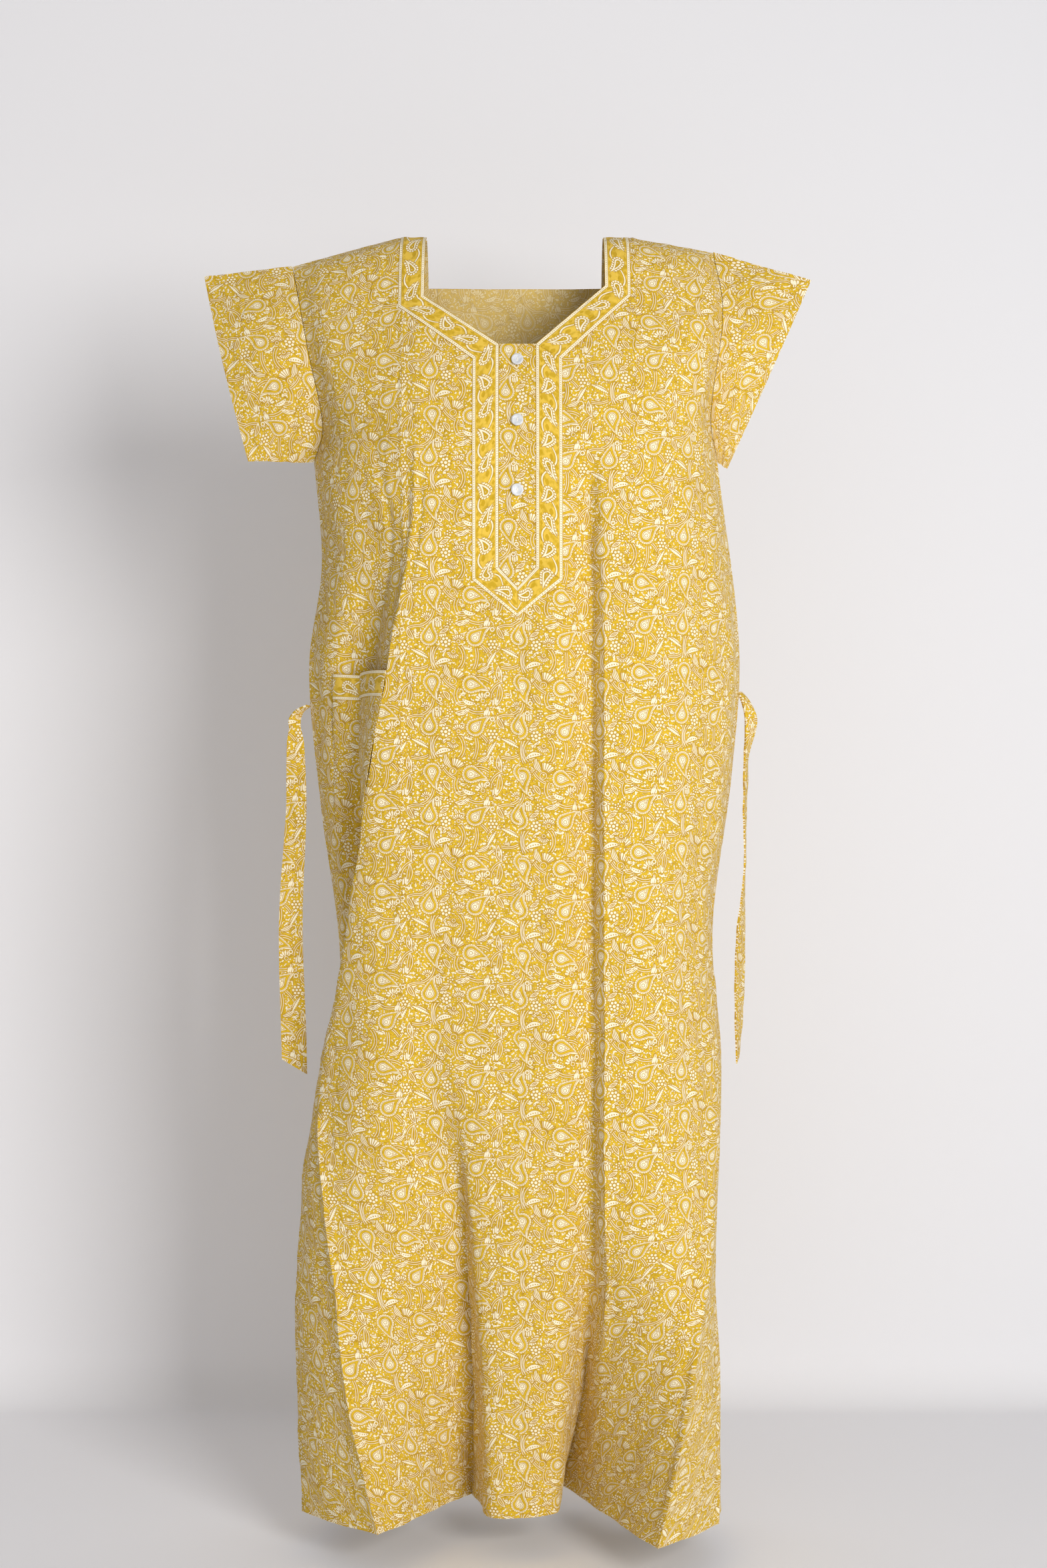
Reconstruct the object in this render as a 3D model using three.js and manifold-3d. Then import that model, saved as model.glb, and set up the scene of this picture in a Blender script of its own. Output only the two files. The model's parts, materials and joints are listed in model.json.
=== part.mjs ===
// A long cotton gown as it hangs from its shoulders: panels, sleeves, printed borders, buttons,
// a patch pocket and two waist ties. Millimetres, +Z up, -Y is the front, +X is the wearer's left.
// The origin is midway between the shoulders, at the height where the neckline meets them.
import * as THREE from 'three';
import { mergeVertices } from 'three/addons/utils/BufferGeometryUtils.js';
import Module from 'manifold-3d';

const wasm = await Module();
wasm.setup();

// Driving dimensions
const UNDERARM_Z = -240;
const HEM_Z = -1358;
const CLOTH = 1.6; // wall of every cloth solid
const TRIM = 0.8; // wall of the borders and bands laid on the cloth
const GAP = 0.3; // kept between pieces that touch
const SEAM = 0.9; // each panel stops this far short of its seam line
const CENTRE_X = 5; // centre-front seam
const PLACKET_X = 3; // centre of the buttoned placket
const PLACKET_HALF = 19; // half width of the band that carries the buttons
const BORDER_HALF = 46; // half width of the placket with its printed borders
const NECK_HALF = 94; // half width of the neckline at the shoulders
const BORDER = 27; // width of the printed border
const NECK_BOTTOM_Z = -132;
const NECK_CORNER_Z = { right: -77, left: -65 }; // where each vertical edge turns to the diagonal
const BACK_NECK_Z = -45;
const PLACKET_END_Z = -363;
const PLACKET_POINT_Z = -384;
const BORDER_END_Z = -376;
const BORDER_POINT_Z = -414;
const BUTTON_Z = { top: -150, middle: -214, bottom: -285 };
const BUTTON_R = 6.3;
const BUTTON_THICK = 2.4;
const BUTTON_STAND = 1; // clear height between the band and the button's back
const SHANK_R = 0.8;
const SLIT_HALF = 1.6; // half width of the placket slit and of each buttonhole
const BUTTONHOLE = 15;
const POCKET_TOP_Z = -468;
const POCKET_BOTTOM_Z = -620;
const POCKET_BORDER = 27;
const POCKET_STAND = 18; // how far the pocket stands off the panel at its middle
const TIE_WIDTH = 26;
const TIE_THICK = 2;
const TIE_Y = 6; // the ties hang this far behind the middle
const TIE_JOINT = 6; // clear height between a tie's fold and its hanging length
const TIE_FOLD_HALF = 7;

// Fold lines of the front, from the wearer's right side seam to the left one.
// Each is a list of [z, x, y], from the underarm to the hem.
const FRONT_FOLDS = [
  [[-240, -214, 0], [-350, -206, 0], [-460, -220, 5], [-606, -208, 10], [-775, -188, 20],
    [-920, -203, 40], [-1170, -212, 45], [-1358, -208, 45]],
  [[-240, -190, -52], [-350, -182, -46], [-460, -190, -34], [-606, -190, -18], [-775, -182, 2],
    [-920, -202, 24], [-1170, -216, 28], [-1358, -214, 27]],
  [[-240, -150, -88], [-330, -134, -82], [-460, -149, -42], [-606, -152, -28], [-775, -166, -14],
    [-920, -198, 6], [-1170, -221, 12], [-1358, -218, 12]],
  [[-240, -100, -110], [-328, -105, -106], [-460, -128, -104], [-567, -148, -98], [-775, -181, -70],
    [-920, -212, -30], [-1000, -224, -20], [-1170, -233, -12], [-1358, -226, -8]],
  [[-240, -88, -111], [-460, -110, -107], [-567, -128, -103], [-775, -166, -84], [-890, -200, -52],
    [-965, -203, -58], [-1121, -184, -74], [-1222, -172, -80], [-1358, -141, -82]],
  [[-240, -76, -112], [-460, -92, -109], [-775, -130, -98], [-890, -145, -88], [-1028, -135, -72],
    [-1222, -112, -45], [-1358, -93, -16]],
  [[-240, -62, -113], [-700, -84, -104], [-897, -82, -84], [-1019, -56, -55], [-1133, -48, -22],
    [-1247, -44, 8], [-1358, -47, 49]],
  [[-240, -38, -113], [-700, -45, -106], [-897, -50, -92], [-1133, -36, -60], [-1358, -25, -29]],
  [[-240, CENTRE_X, -113], [-700, CENTRE_X, -107], [-1000, CENTRE_X, -86], [-1200, CENTRE_X, -56],
    [-1358, CENTRE_X, -31]],
  [[-240, 45, -113], [-700, 48, -106], [-1000, 54, -84], [-1200, 50, -46], [-1358, 45, -14]],
  [[-240, 74, -111], [-330, 75, -98], [-1000, 78, -80], [-1108, 79, -42], [-1242, 73, 18],
    [-1358, 51, 81]],
  [[-240, 92, -110], [-330, 92, -111], [-1000, 93, -101], [-1108, 96, -70], [-1242, 88, -18],
    [-1358, 70, 40]],
  [[-240, 150, -94], [-500, 155, -97], [-740, 150, -96], [-1000, 155, -95], [-1155, 148, -85],
    [-1251, 132, -66], [-1358, 108, -44]],
  [[-240, 198, -50], [-500, 222, -40], [-740, 200, -38], [-900, 212, -38], [-1060, 204, -62],
    [-1155, 189, -93], [-1251, 171, -110], [-1358, 145, -123]],
  [[-240, 216, 0], [-440, 240, 5], [-573, 232, 5], [-740, 211, 0], [-880, 220, -5],
    [-1105, 212, -25], [-1200, 216, -35], [-1358, 214, -49]],
];
const LEFT_SEAM = FRONT_FOLDS[FRONT_FOLDS.length - 1];
const RIGHT_SEAM = FRONT_FOLDS[0];

// Fold lines of the back, from the wearer's left side seam to the right one
const BACK_FOLDS = [
  LEFT_SEAM,
  [[-240, 192, 48], [-700, 198, 58], [-1050, 208, 52], [-1358, 218, 20]],
  [[-240, 148, 82], [-700, 158, 96], [-1050, 168, 104], [-1358, 176, 105]],
  [[-240, 96, 95], [-700, 104, 90], [-1050, 112, 82], [-1358, 120, 72]],
  [[-240, 40, 99], [-700, 48, 104], [-1050, 58, 122], [-1358, 66, 140]],
  [[-240, -16, 99], [-700, -10, 96], [-1050, -4, 98], [-1358, 0, 102]],
  [[-240, -72, 97], [-700, -66, 104], [-1050, -62, 126], [-1358, -62, 148]],
  [[-240, -124, 90], [-700, -118, 90], [-1050, -120, 88], [-1358, -122, 90]],
  [[-240, -180, 56], [-700, -160, 74], [-1050, -176, 100], [-1358, -180, 120]],
  RIGHT_SEAM,
];

// Shares of the way from the shoulder seam to the underarm, and how far the cloth has come forward
const YOKE_SHARES = [0.008, 0.05, 0.12, 0.22, 0.36, 0.55, 0.78, 1];
const YOKE_DEPTH = [[0, 0], [0.05, 0.24], [0.15, 0.42], [0.3, 0.56], [0.55, 0.79], [0.8, 0.94], [1, 1]];
const ARMHOLE_BULGE = 38;
const ARMHOLE = {
  right: [[0, -237], [0.5, -216], [0.85, -203], [1, -214]],
  left: [[0, 211], [0.3, 219], [0.8, 207], [1, 216]],
};
const SHOULDER_FLAT = 125; // the shoulder line is level out to here, then slopes to the armhole
const SHOULDER_END_Z = { right: -30, left: -15 };
const BODY_ROWS = [-290, -340, -400, -468, -495, -560, -620, -700, -790, -880, -960, -1040, -1120,
  -1200, -1280, HEM_Z];

// Sleeve openings: the top and bottom corners of each as [x, z], and half the depth between layers
const SLEEVE = {
  right: { top: [-332, -41], bottom: [-285, -239] },
  left: { top: [317, -45], bottom: [227, -247] },
};
const SLEEVE_HALF_DEPTH = 24;
const SLEEVE_GAP = 2; // between the armhole seam and the sleeve's own root
const SLEEVE_ALONG = 4;

const COLOURS = {
  print: 0xd9ae3c,
  border: 0xe0bb52,
  band: 0xd3a838,
  pearl: 0xf4f1ea,
  thread: 0xe9e2cf,
};

function material(colour, roughness) {
  return new THREE.MeshStandardMaterial({ color: colour, roughness, metalness: 0 });
}

// Smooth value of a list of [position, ...values] at a position; the list may rise or fall
function along(keys, position) {
  const rising = keys[keys.length - 1][0] > keys[0][0] ? 1 : -1;
  let i = 0;
  while (i < keys.length - 2 && (position - keys[i + 1][0]) * rising > 0) {
    i += 1;
  }
  const [a, b] = [keys[i], keys[i + 1]];
  const span = b[0] - a[0];
  const t = THREE.MathUtils.clamp((position - a[0]) / span, 0, 1);
  const before = keys[Math.max(i - 1, 0)];
  const after = keys[Math.min(i + 2, keys.length - 1)];
  const values = [];
  for (let j = 1; j < a.length; j += 1) {
    const slopeA = ((b[j] - before[j]) / (b[0] - before[0])) * span;
    const slopeB = ((after[j] - a[j]) / (after[0] - a[0])) * span;
    const h = (2 * t - 3) * t * t;
    values.push(a[j] * (1 + h) - b[j] * h + slopeA * t * (1 - t) ** 2 - slopeB * t * t * (1 - t));
  }
  return values;
}

// Height of the shoulder line above a point at x
function shoulderZ(x) {
  const side = x < 0 ? 'right' : 'left';
  const reach = Math.abs(ARMHOLE[side][0][1]) - SHOULDER_FLAT;
  return SHOULDER_END_Z[side] * Math.max(0, (Math.abs(x) - SHOULDER_FLAT) / reach);
}

// A smooth row of points through the fold lines at one height
function section(folds, z, perFold) {
  const knots = folds.map((fold) => new THREE.Vector3(...along(fold, z), z));
  const curve = new THREE.CatmullRomCurve3(knots, false, 'centripetal');
  const count = (folds.length - 1) * perFold;
  const row = [];
  for (let i = 0; i <= count; i += 1) {
    row.push(curve.getPoint(i / count));
  }
  const step = (from, to) => to.clone().sub(from).setLength(SEAM);
  row[0].add(step(row[0], row[1]));
  row[count].add(step(row[count], row[count - 1]));
  return row;
}

// A point of the underarm row carried up the yoke to a share of the way from the shoulder
function yokePoint(point, share, front) {
  const side = point.x < 0 ? 'right' : 'left';
  const seamX = along(ARMHOLE[side], 1)[0];
  const edgeX = along(ARMHOLE[side], share)[0];
  const outward = Math.max(0, (Math.abs(point.x) - 110) / (Math.abs(seamX) - 110));
  const x = point.x + (edgeX - seamX) * outward;
  const bulge = ARMHOLE_BULGE * Math.sin(Math.PI * share) * outward ** 2;
  const y = point.y * along(YOKE_DEPTH, share)[0] + (front ? -bulge : bulge);
  return new THREE.Vector3(x, y, shoulderZ(x) * (1 - share) + UNDERARM_Z * share);
}

function panelGrid(folds, perFold, front) {
  const underarm = section(folds, UNDERARM_Z, perFold);
  const yoke = YOKE_SHARES.map((share) => underarm.map((point) => yokePoint(point, share, front)));
  return yoke.concat(BODY_ROWS.map((z) => section(folds, z, perFold)));
}

// Outward unit normals of a grid of points; a ring grid wraps round its columns
function gridNormals(grid, ring) {
  const columns = grid[0].length;
  const wrap = (c) => (ring ? (c + columns) % columns : THREE.MathUtils.clamp(c, 0, columns - 1));
  return grid.map((row, r) => row.map((_, c) => {
    const across = row[wrap(c + 1)].clone().sub(row[wrap(c - 1)]);
    const above = grid[Math.max(r - 1, 0)][c];
    const down = grid[Math.min(r + 1, grid.length - 1)][c].clone().sub(above);
    return down.cross(across).normalize();
  }));
}

// A closed thin solid between two offsets of a grid of points
function sheetSolid(grid, inner, outer, ring = false) {
  const normals = gridNormals(grid, ring);
  const rows = grid.length;
  const columns = grid[0].length;
  const positions = [];
  for (const offset of [outer, inner]) {
    grid.forEach((row, r) => row.forEach((point, c) => {
      positions.push(...point.clone().addScaledVector(normals[r][c], offset).toArray());
    }));
  }
  const index = [];
  const id = (layer, r, c) => layer * rows * columns + r * columns + (c % columns);
  const quad = (a, b, c, d) => index.push(a, b, c, a, c, d);
  const spans = ring ? columns : columns - 1;
  for (let r = 0; r < rows - 1; r += 1) {
    for (let c = 0; c < spans; c += 1) {
      quad(id(0, r, c), id(0, r + 1, c), id(0, r + 1, c + 1), id(0, r, c + 1));
      quad(id(1, r, c), id(1, r, c + 1), id(1, r + 1, c + 1), id(1, r + 1, c));
    }
  }
  for (let c = 0; c < spans; c += 1) {
    quad(id(0, 0, c), id(0, 0, c + 1), id(1, 0, c + 1), id(1, 0, c));
    quad(id(0, rows - 1, c), id(1, rows - 1, c), id(1, rows - 1, c + 1), id(0, rows - 1, c + 1));
  }
  if (!ring) {
    for (let r = 0; r < rows - 1; r += 1) {
      quad(id(0, r, 0), id(1, r, 0), id(1, r + 1, 0), id(0, r + 1, 0));
      quad(id(0, r, columns - 1), id(0, r + 1, columns - 1), id(1, r + 1, columns - 1), id(1, r, columns - 1));
    }
  }
  const geometry = new THREE.BufferGeometry();
  geometry.setAttribute('position', new THREE.Float32BufferAttribute(positions, 3));
  geometry.setIndex(index);
  return geometry;
}

// A plate whose outline is given as [x, z] points, from one depth to another along Y
function plate(outline, nearY, farY) {
  const shape = new THREE.Shape(outline.map(([x, z]) => new THREE.Vector2(x, z)));
  const geometry = new THREE.ExtrudeGeometry(shape, { depth: farY - nearY, bevelEnabled: false });
  geometry.rotateX(Math.PI / 2);
  geometry.translate(0, farY, 0);
  return geometry;
}

function toManifold(geometry) {
  const bare = geometry.clone();
  bare.deleteAttribute('normal');
  bare.deleteAttribute('uv');
  const merged = mergeVertices(bare, 1e-4);
  const mesh = new wasm.Mesh({
    numProp: 3,
    vertProperties: new Float32Array(merged.attributes.position.array),
    triVerts: new Uint32Array(merged.index.array),
  });
  return new wasm.Manifold(mesh);
}

function toGeometry(solid) {
  const mesh = solid.getMesh();
  const geometry = new THREE.BufferGeometry();
  geometry.setAttribute('position', new THREE.Float32BufferAttribute(mesh.vertProperties, 3));
  geometry.setIndex(new THREE.BufferAttribute(mesh.triVerts, 1));
  geometry.computeVertexNormals();
  return geometry;
}

const gown = new THREE.Group();

function addNode(name, geometry, colour, roughness = 0.85) {
  const mesh = new THREE.Mesh(geometry, material(colour, roughness));
  mesh.name = name;
  gown.add(mesh);
  return mesh;
}

const frontGrid = panelGrid(FRONT_FOLDS, 2, true);
const backGrid = panelGrid(BACK_FOLDS, 2, false);
const CENTRE_COLUMN = 16; // the front grid's column on the centre-front seam

// Everything of the front between two heights that are rows of its grid
function frontRows(topZ, bottomZ) {
  const rows = frontGrid.filter((row) => row[CENTRE_COLUMN].z <= topZ && row[CENTRE_COLUMN].z >= bottomZ);
  return rows;
}

function frontNeckOutline() {
  return [
    [-NECK_HALF, 40], [-NECK_HALF, NECK_CORNER_Z.right], [PLACKET_X - PLACKET_HALF, NECK_BOTTOM_Z],
    [PLACKET_X + PLACKET_HALF, NECK_BOTTOM_Z], [NECK_HALF, NECK_CORNER_Z.left], [NECK_HALF, 40],
  ];
}

function addFrontPanels() {
  const whole = toManifold(sheetSolid(frontGrid, -CLOTH / 2, CLOTH / 2));
  const neck = toManifold(plate(frontNeckOutline(), -150, 40));
  const slit = toManifold(plate([
    [PLACKET_X - SLIT_HALF, NECK_BOTTOM_Z + 10], [PLACKET_X - SLIT_HALF, PLACKET_END_Z + 10],
    [PLACKET_X + SLIT_HALF, PLACKET_END_Z + 10], [PLACKET_X + SLIT_HALF, NECK_BOTTOM_Z + 10],
  ], -150, 40));
  const open = whole.subtract(neck).subtract(slit);
  const half = (near, far) => toManifold(plate([
    [near, 60], [near, HEM_Z - 40], [far, HEM_Z - 40], [far, 60],
  ], -300, 300));
  const seam = CENTRE_X - GAP / 2;
  addNode('front_right_panel', toGeometry(open.intersect(half(-400, seam))), COLOURS.print);
  addNode('front_left_panel', toGeometry(open.intersect(half(seam + GAP, 400))), COLOURS.print);
}

function backNeckOutline(side, bottomZ) {
  return [[-side, 40], [-side, bottomZ], [side, bottomZ], [side, 40]];
}

function addBackPanel() {
  const whole = toManifold(sheetSolid(backGrid, -CLOTH / 2, CLOTH / 2));
  const neck = toManifold(plate(backNeckOutline(NECK_HALF, BACK_NECK_Z), -40, 200));
  addNode('back_panel', toGeometry(whole.subtract(neck)), COLOURS.print);
}

// Layers of the chest, above and below the panel's own wall
const LAYER_IN = CLOTH / 2 + GAP;
const LAYER_OUT = LAYER_IN + TRIM;
const chestRows = frontRows(40, -440);
const chestLayer = toManifold(sheetSolid(chestRows, LAYER_IN, LAYER_OUT));
const underLayer = toManifold(sheetSolid(chestRows, -LAYER_OUT, -LAYER_IN));

// A trim piece of the front: its outline, laid on the chest
function chestPiece(outline, layer = chestLayer) {
  return toManifold(plate(outline, -150, 60)).intersect(layer);
}

function addNeckBorders() {
  for (const [side, sign] of [['right', -1], ['left', 1]]) {
    const corner = NECK_CORNER_Z[side];
    const inner = PLACKET_X + sign * PLACKET_HALF;
    const outer = PLACKET_X + sign * BORDER_HALF;
    const drop = BORDER * 0.42; // the diagonal's lower edge meets the vertical ones this much lower
    const outline = [
      [sign * NECK_HALF, 30], [sign * NECK_HALF, corner], [inner, NECK_BOTTOM_Z],
      [outer, NECK_BOTTOM_Z - BORDER * 0.6], [sign * (NECK_HALF + BORDER), corner - drop],
      [sign * (NECK_HALF + BORDER), 30],
    ];
    const piece = chestPiece(outline);
    addNode(`neck_border_${side}`, toGeometry(piece), COLOURS.border);
  }
}

function addPlacketBorders() {
  for (const [side, sign] of [['right', -1], ['left', 1]]) {
    const inner = PLACKET_X + sign * PLACKET_HALF;
    const outer = PLACKET_X + sign * BORDER_HALF;
    const upright = [
      [inner, NECK_BOTTOM_Z - GAP], [inner, PLACKET_END_Z], [outer, BORDER_END_Z],
      [outer, NECK_BOTTOM_Z - BORDER * 0.6 - GAP],
    ];
    addNode(`placket_border_${side}`, toGeometry(chestPiece(upright)), COLOURS.border);
    const middle = PLACKET_X + (sign * GAP) / 2;
    const point = [
      [inner, PLACKET_END_Z - GAP], [middle, PLACKET_POINT_Z], [middle, BORDER_POINT_Z],
      [outer, BORDER_END_Z - GAP],
    ];
    addNode(`placket_point_${side}`, toGeometry(chestPiece(point)), COLOURS.border);
  }
}

function bandOutline(inset) {
  const left = PLACKET_X - PLACKET_HALF + inset;
  const right = PLACKET_X + PLACKET_HALF - inset;
  return [
    [left, NECK_BOTTOM_Z], [left, PLACKET_END_Z], [PLACKET_X, PLACKET_POINT_Z + inset],
    [right, PLACKET_END_Z], [right, NECK_BOTTOM_Z],
  ];
}

function addButtonBands() {
  let upper = chestPiece(bandOutline(GAP));
  for (const z of Object.values(BUTTON_Z)) {
    const hole = plate([
      [PLACKET_X - SLIT_HALF, z + BUTTONHOLE / 2], [PLACKET_X - SLIT_HALF, z - BUTTONHOLE / 2],
      [PLACKET_X + SLIT_HALF, z - BUTTONHOLE / 2], [PLACKET_X + SLIT_HALF, z + BUTTONHOLE / 2],
    ], -150, 40);
    upper = upper.subtract(toManifold(hole));
  }
  addNode('button_band_upper', toGeometry(upper), COLOURS.band);
  addNode('button_band_under', toGeometry(chestPiece(bandOutline(GAP), underLayer)), COLOURS.band);
}

function addBackBorder() {
  const rows = backGrid.filter((row) => row[10].z > -110);
  const layer = toManifold(sheetSolid(rows, LAYER_IN, LAYER_OUT));
  const outside = backNeckOutline(NECK_HALF + BORDER, BACK_NECK_Z - BORDER);
  const inside = backNeckOutline(NECK_HALF, BACK_NECK_Z);
  const strip = toManifold(plate(outside, -40, 200)).subtract(toManifold(plate(inside, -60, 220)));
  addNode('back_neck_border', toGeometry(strip.intersect(layer)), COLOURS.border);
}

// The chest's depth at the placket, read from the front grid between its rows
function chestY(z) {
  const keys = frontGrid.map((row) => [row[CENTRE_COLUMN].z, row[CENTRE_COLUMN].y]);
  let i = 0;
  while (i < keys.length - 2 && keys[i + 1][0] > z) {
    i += 1;
  }
  const t = (z - keys[i][0]) / (keys[i + 1][0] - keys[i][0]);
  return keys[i][1] + (keys[i + 1][1] - keys[i][1]) * t;
}

// A flat two-hole button lying along the slope of the chest, and the thread shank that holds it
function addButton(name, z) {
  const place = new THREE.Group();
  place.position.set(PLACKET_X, chestY(z), z);
  place.rotation.x = Math.atan2(chestY(z - BUTTON_R) - chestY(z + BUTTON_R), 2 * BUTTON_R);
  gown.add(place);
  const disc = new THREE.CylinderGeometry(BUTTON_R, BUTTON_R, BUTTON_THICK, 32);
  let solid = toManifold(disc);
  const slot = new THREE.BoxGeometry(2.4, 1, 7);
  slot.translate(0, -BUTTON_THICK / 2, 0);
  solid = solid.subtract(toManifold(slot));
  for (const side of [-1, 1]) {
    const hole = new THREE.CylinderGeometry(0.8, 0.8, 10, 12);
    hole.translate(0, 0, side * 2);
    solid = solid.subtract(toManifold(hole));
  }
  const back = -LAYER_OUT - BUTTON_STAND;
  const button = addNode(`button_${name}`, toGeometry(solid), COLOURS.pearl, 0.25);
  button.position.y = back - BUTTON_THICK / 2;
  const length = LAYER_OUT + BUTTON_STAND - GAP + CLOTH / 2;
  const shank = new THREE.CylinderGeometry(SHANK_R, SHANK_R, length, 12);
  const thread = addNode(`button_thread_${name}`, shank, COLOURS.thread, 0.7);
  thread.position.y = back + GAP + length / 2;
  place.add(button, thread);
}

// The pocket bridges the valley beside the front fold, between two columns of the front grid
const POCKET_COLUMNS = { first: 2, last: 6 };

function pocketGrid(topZ, bottomZ, stand) {
  const rows = frontRows(topZ, bottomZ);
  const normals = gridNormals(rows, false);
  const { first, last } = POCKET_COLUMNS;
  return rows.map((row, r) => {
    const cells = [];
    for (let c = first; c <= last; c += 1) {
      const across = Math.sin((Math.PI * (c - first)) / (last - first));
      const open = (row[CENTRE_COLUMN].z - POCKET_BOTTOM_Z) / (POCKET_TOP_Z - POCKET_BOTTOM_Z);
      const rise = LAYER_IN + TRIM / 2 + stand * across * Math.sin(Math.PI * Math.min(open, 0.5));
      cells.push(row[c].clone().addScaledVector(normals[r][c], rise));
    }
    return cells;
  });
}

function addPocket() {
  const body = pocketGrid(POCKET_TOP_Z, POCKET_BOTTOM_Z, POCKET_STAND);
  addNode('pocket', sheetSolid(body, -TRIM / 2, TRIM / 2), COLOURS.print);
  const border = pocketGrid(POCKET_TOP_Z, POCKET_TOP_Z - POCKET_BORDER, POCKET_STAND);
  addNode('pocket_border', sheetSolid(border, TRIM / 2 + GAP, TRIM * 1.5 + GAP), COLOURS.border);
}

// The root of a sleeve is the armhole; its mouth is a flattened ring between two corners
function sleeveGrid(side) {
  const sign = side === 'right' ? -1 : 1;
  const { top, bottom } = SLEEVE[side];
  const seam = new THREE.Vector3(along(ARMHOLE[side], 1)[0], 0, UNDERARM_Z);
  const front = YOKE_SHARES.map((share) => [share, true]);
  const back = YOKE_SHARES.slice(0, -1).map((share) => [share, false]).reverse();
  const ring = front.concat(back);
  const grid = [];
  for (let r = 0; r <= SLEEVE_ALONG; r += 1) {
    const row = ring.map(([share, facesFront]) => {
      const root = yokePoint(seam, share, facesFront);
      root.x += sign * SLEEVE_GAP;
      const depth = SLEEVE_HALF_DEPTH * Math.sin(Math.PI * share);
      const mouth = new THREE.Vector3(
        top[0] + (bottom[0] - top[0]) * share,
        facesFront ? -depth : depth,
        top[1] + (bottom[1] - top[1]) * share,
      );
      return root.lerp(mouth, r / SLEEVE_ALONG);
    });
    grid.push(sign < 0 ? row : [row[0], ...row.slice(1).reverse()]);
  }
  return grid;
}

function addSleeves() {
  for (const side of ['right', 'left']) {
    const solid = sheetSolid(sleeveGrid(side), -CLOTH / 2, CLOTH / 2, true);
    addNode(`sleeve_${side}`, solid, COLOURS.print);
  }
}

// A strap: stations of [x, z] down its middle, flat to the front or edge-on to it
function strapGeometry(stations, edgeOn) {
  const normalX = edgeOn ? TIE_THICK / 2 : TIE_WIDTH / 2;
  const halfY = edgeOn ? TIE_WIDTH / 2 : TIE_THICK / 2;
  const right = stations.map(([x, z, spread = 1]) => [x + normalX * spread, z]);
  const left = stations.map(([x, z, spread = 1]) => [x - normalX * spread, z]).reverse();
  return plate([...right, ...left], -halfY, halfY);
}

// Each tie leaves the side seam through a short fold and hangs from its end. Stations are [x, z, spread].
const TIES = {
  right: {
    rootX: -221, rootZ: -504, foldX: -237, foldZ: -511, edgeOn: false,
    strap: [[-235, -522, 0.3], [-235, -540, 0.65], [-234, -610, 0.8], [-240, -730, 0.95],
      [-237, -850, 1], [-236, -888, 1]],
  },
  left: {
    rootX: 241, rootZ: -490, foldX: 252, foldZ: -514, edgeOn: true,
    strap: [[247, -552], [246, -674], [243, -780], [240, -880]],
  },
};

function addTies() {
  for (const [side, tie] of Object.entries(TIES)) {
    const sign = Math.sign(tie.rootX);
    const bottom = tie.strap[0][1] + TIE_JOINT;
    const near = tie.rootX + sign * 2;
    const outer = tie.foldX + sign * TIE_FOLD_HALF;
    const inner = tie.foldX - sign * TIE_FOLD_HALF;
    const fold = plate([
      [near, tie.rootZ + 8], [outer, tie.foldZ + 6], [outer, bottom], [inner, bottom],
      [inner, tie.foldZ - 2], [near, tie.rootZ - 10],
    ], -6, 6);
    const foldNode = addNode(`tie_${side}_fold`, fold, COLOURS.print);
    foldNode.position.y = TIE_Y;
    const strap = addNode(`tie_${side}`, strapGeometry(tie.strap, tie.edgeOn), COLOURS.print);
    strap.position.y = TIE_Y;
  }
}

addFrontPanels();
addBackPanel();
addSleeves();
addNeckBorders();
addPlacketBorders();
addButtonBands();
addBackBorder();
for (const [name, z] of Object.entries(BUTTON_Z)) {
  addButton(name, z);
}
addPocket();
addTies();

export default gown;
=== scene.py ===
"""A long printed cotton gown hanging from its shoulders: metres, +Z up, -Y is the front."""
import json
import math

import bmesh
import bpy
import numpy as np
from mathutils import Matrix, Vector
from mathutils.bvhtree import BVHTree


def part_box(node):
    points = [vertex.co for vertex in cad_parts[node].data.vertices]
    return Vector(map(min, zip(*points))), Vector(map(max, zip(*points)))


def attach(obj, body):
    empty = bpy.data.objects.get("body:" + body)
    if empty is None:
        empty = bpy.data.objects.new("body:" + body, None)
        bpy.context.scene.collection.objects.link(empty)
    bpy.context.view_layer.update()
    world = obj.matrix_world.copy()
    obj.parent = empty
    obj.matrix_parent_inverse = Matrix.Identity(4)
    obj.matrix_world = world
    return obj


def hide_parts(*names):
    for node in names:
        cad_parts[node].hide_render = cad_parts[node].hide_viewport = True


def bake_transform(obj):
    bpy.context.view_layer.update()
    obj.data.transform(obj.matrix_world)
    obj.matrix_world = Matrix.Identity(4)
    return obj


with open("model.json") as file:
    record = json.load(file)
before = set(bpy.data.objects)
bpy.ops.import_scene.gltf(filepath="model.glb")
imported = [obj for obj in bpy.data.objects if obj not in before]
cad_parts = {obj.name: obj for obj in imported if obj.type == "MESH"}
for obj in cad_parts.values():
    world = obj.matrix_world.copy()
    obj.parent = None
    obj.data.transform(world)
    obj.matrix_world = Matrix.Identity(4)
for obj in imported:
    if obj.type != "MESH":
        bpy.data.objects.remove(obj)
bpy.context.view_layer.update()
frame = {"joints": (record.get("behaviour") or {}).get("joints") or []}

HEM_Z = -1358.0
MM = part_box("front_right_panel")[0].z / HEM_Z  # metres in one of the millimetres used below
UNDERARM_Z = -240.0
GRID_STEP = 3.0  # spacing of the cloth's mesh
BACK_GRID_STEP = 4.0  # the back is one wide piece, so it is a little coarser
CLOTH = 0.5  # thickness of the cotton
TRIM = 0.45  # thickness of the borders and bands laid on it
BORDER_LIFT = 0.6  # how far a border lies off the panel
SHARP_ANGLE = math.radians(50)  # a cloth's edges are creased past this angle
HEM_TURN = 17.0
SLEEVE_HEM = 11.0
NECK_HALF = 94.0
BORDER = 27.0
NECK_CORNER_Z = {"right": -77.0, "left": -65.0}
NECK_BOTTOM_Z = -132.0
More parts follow.
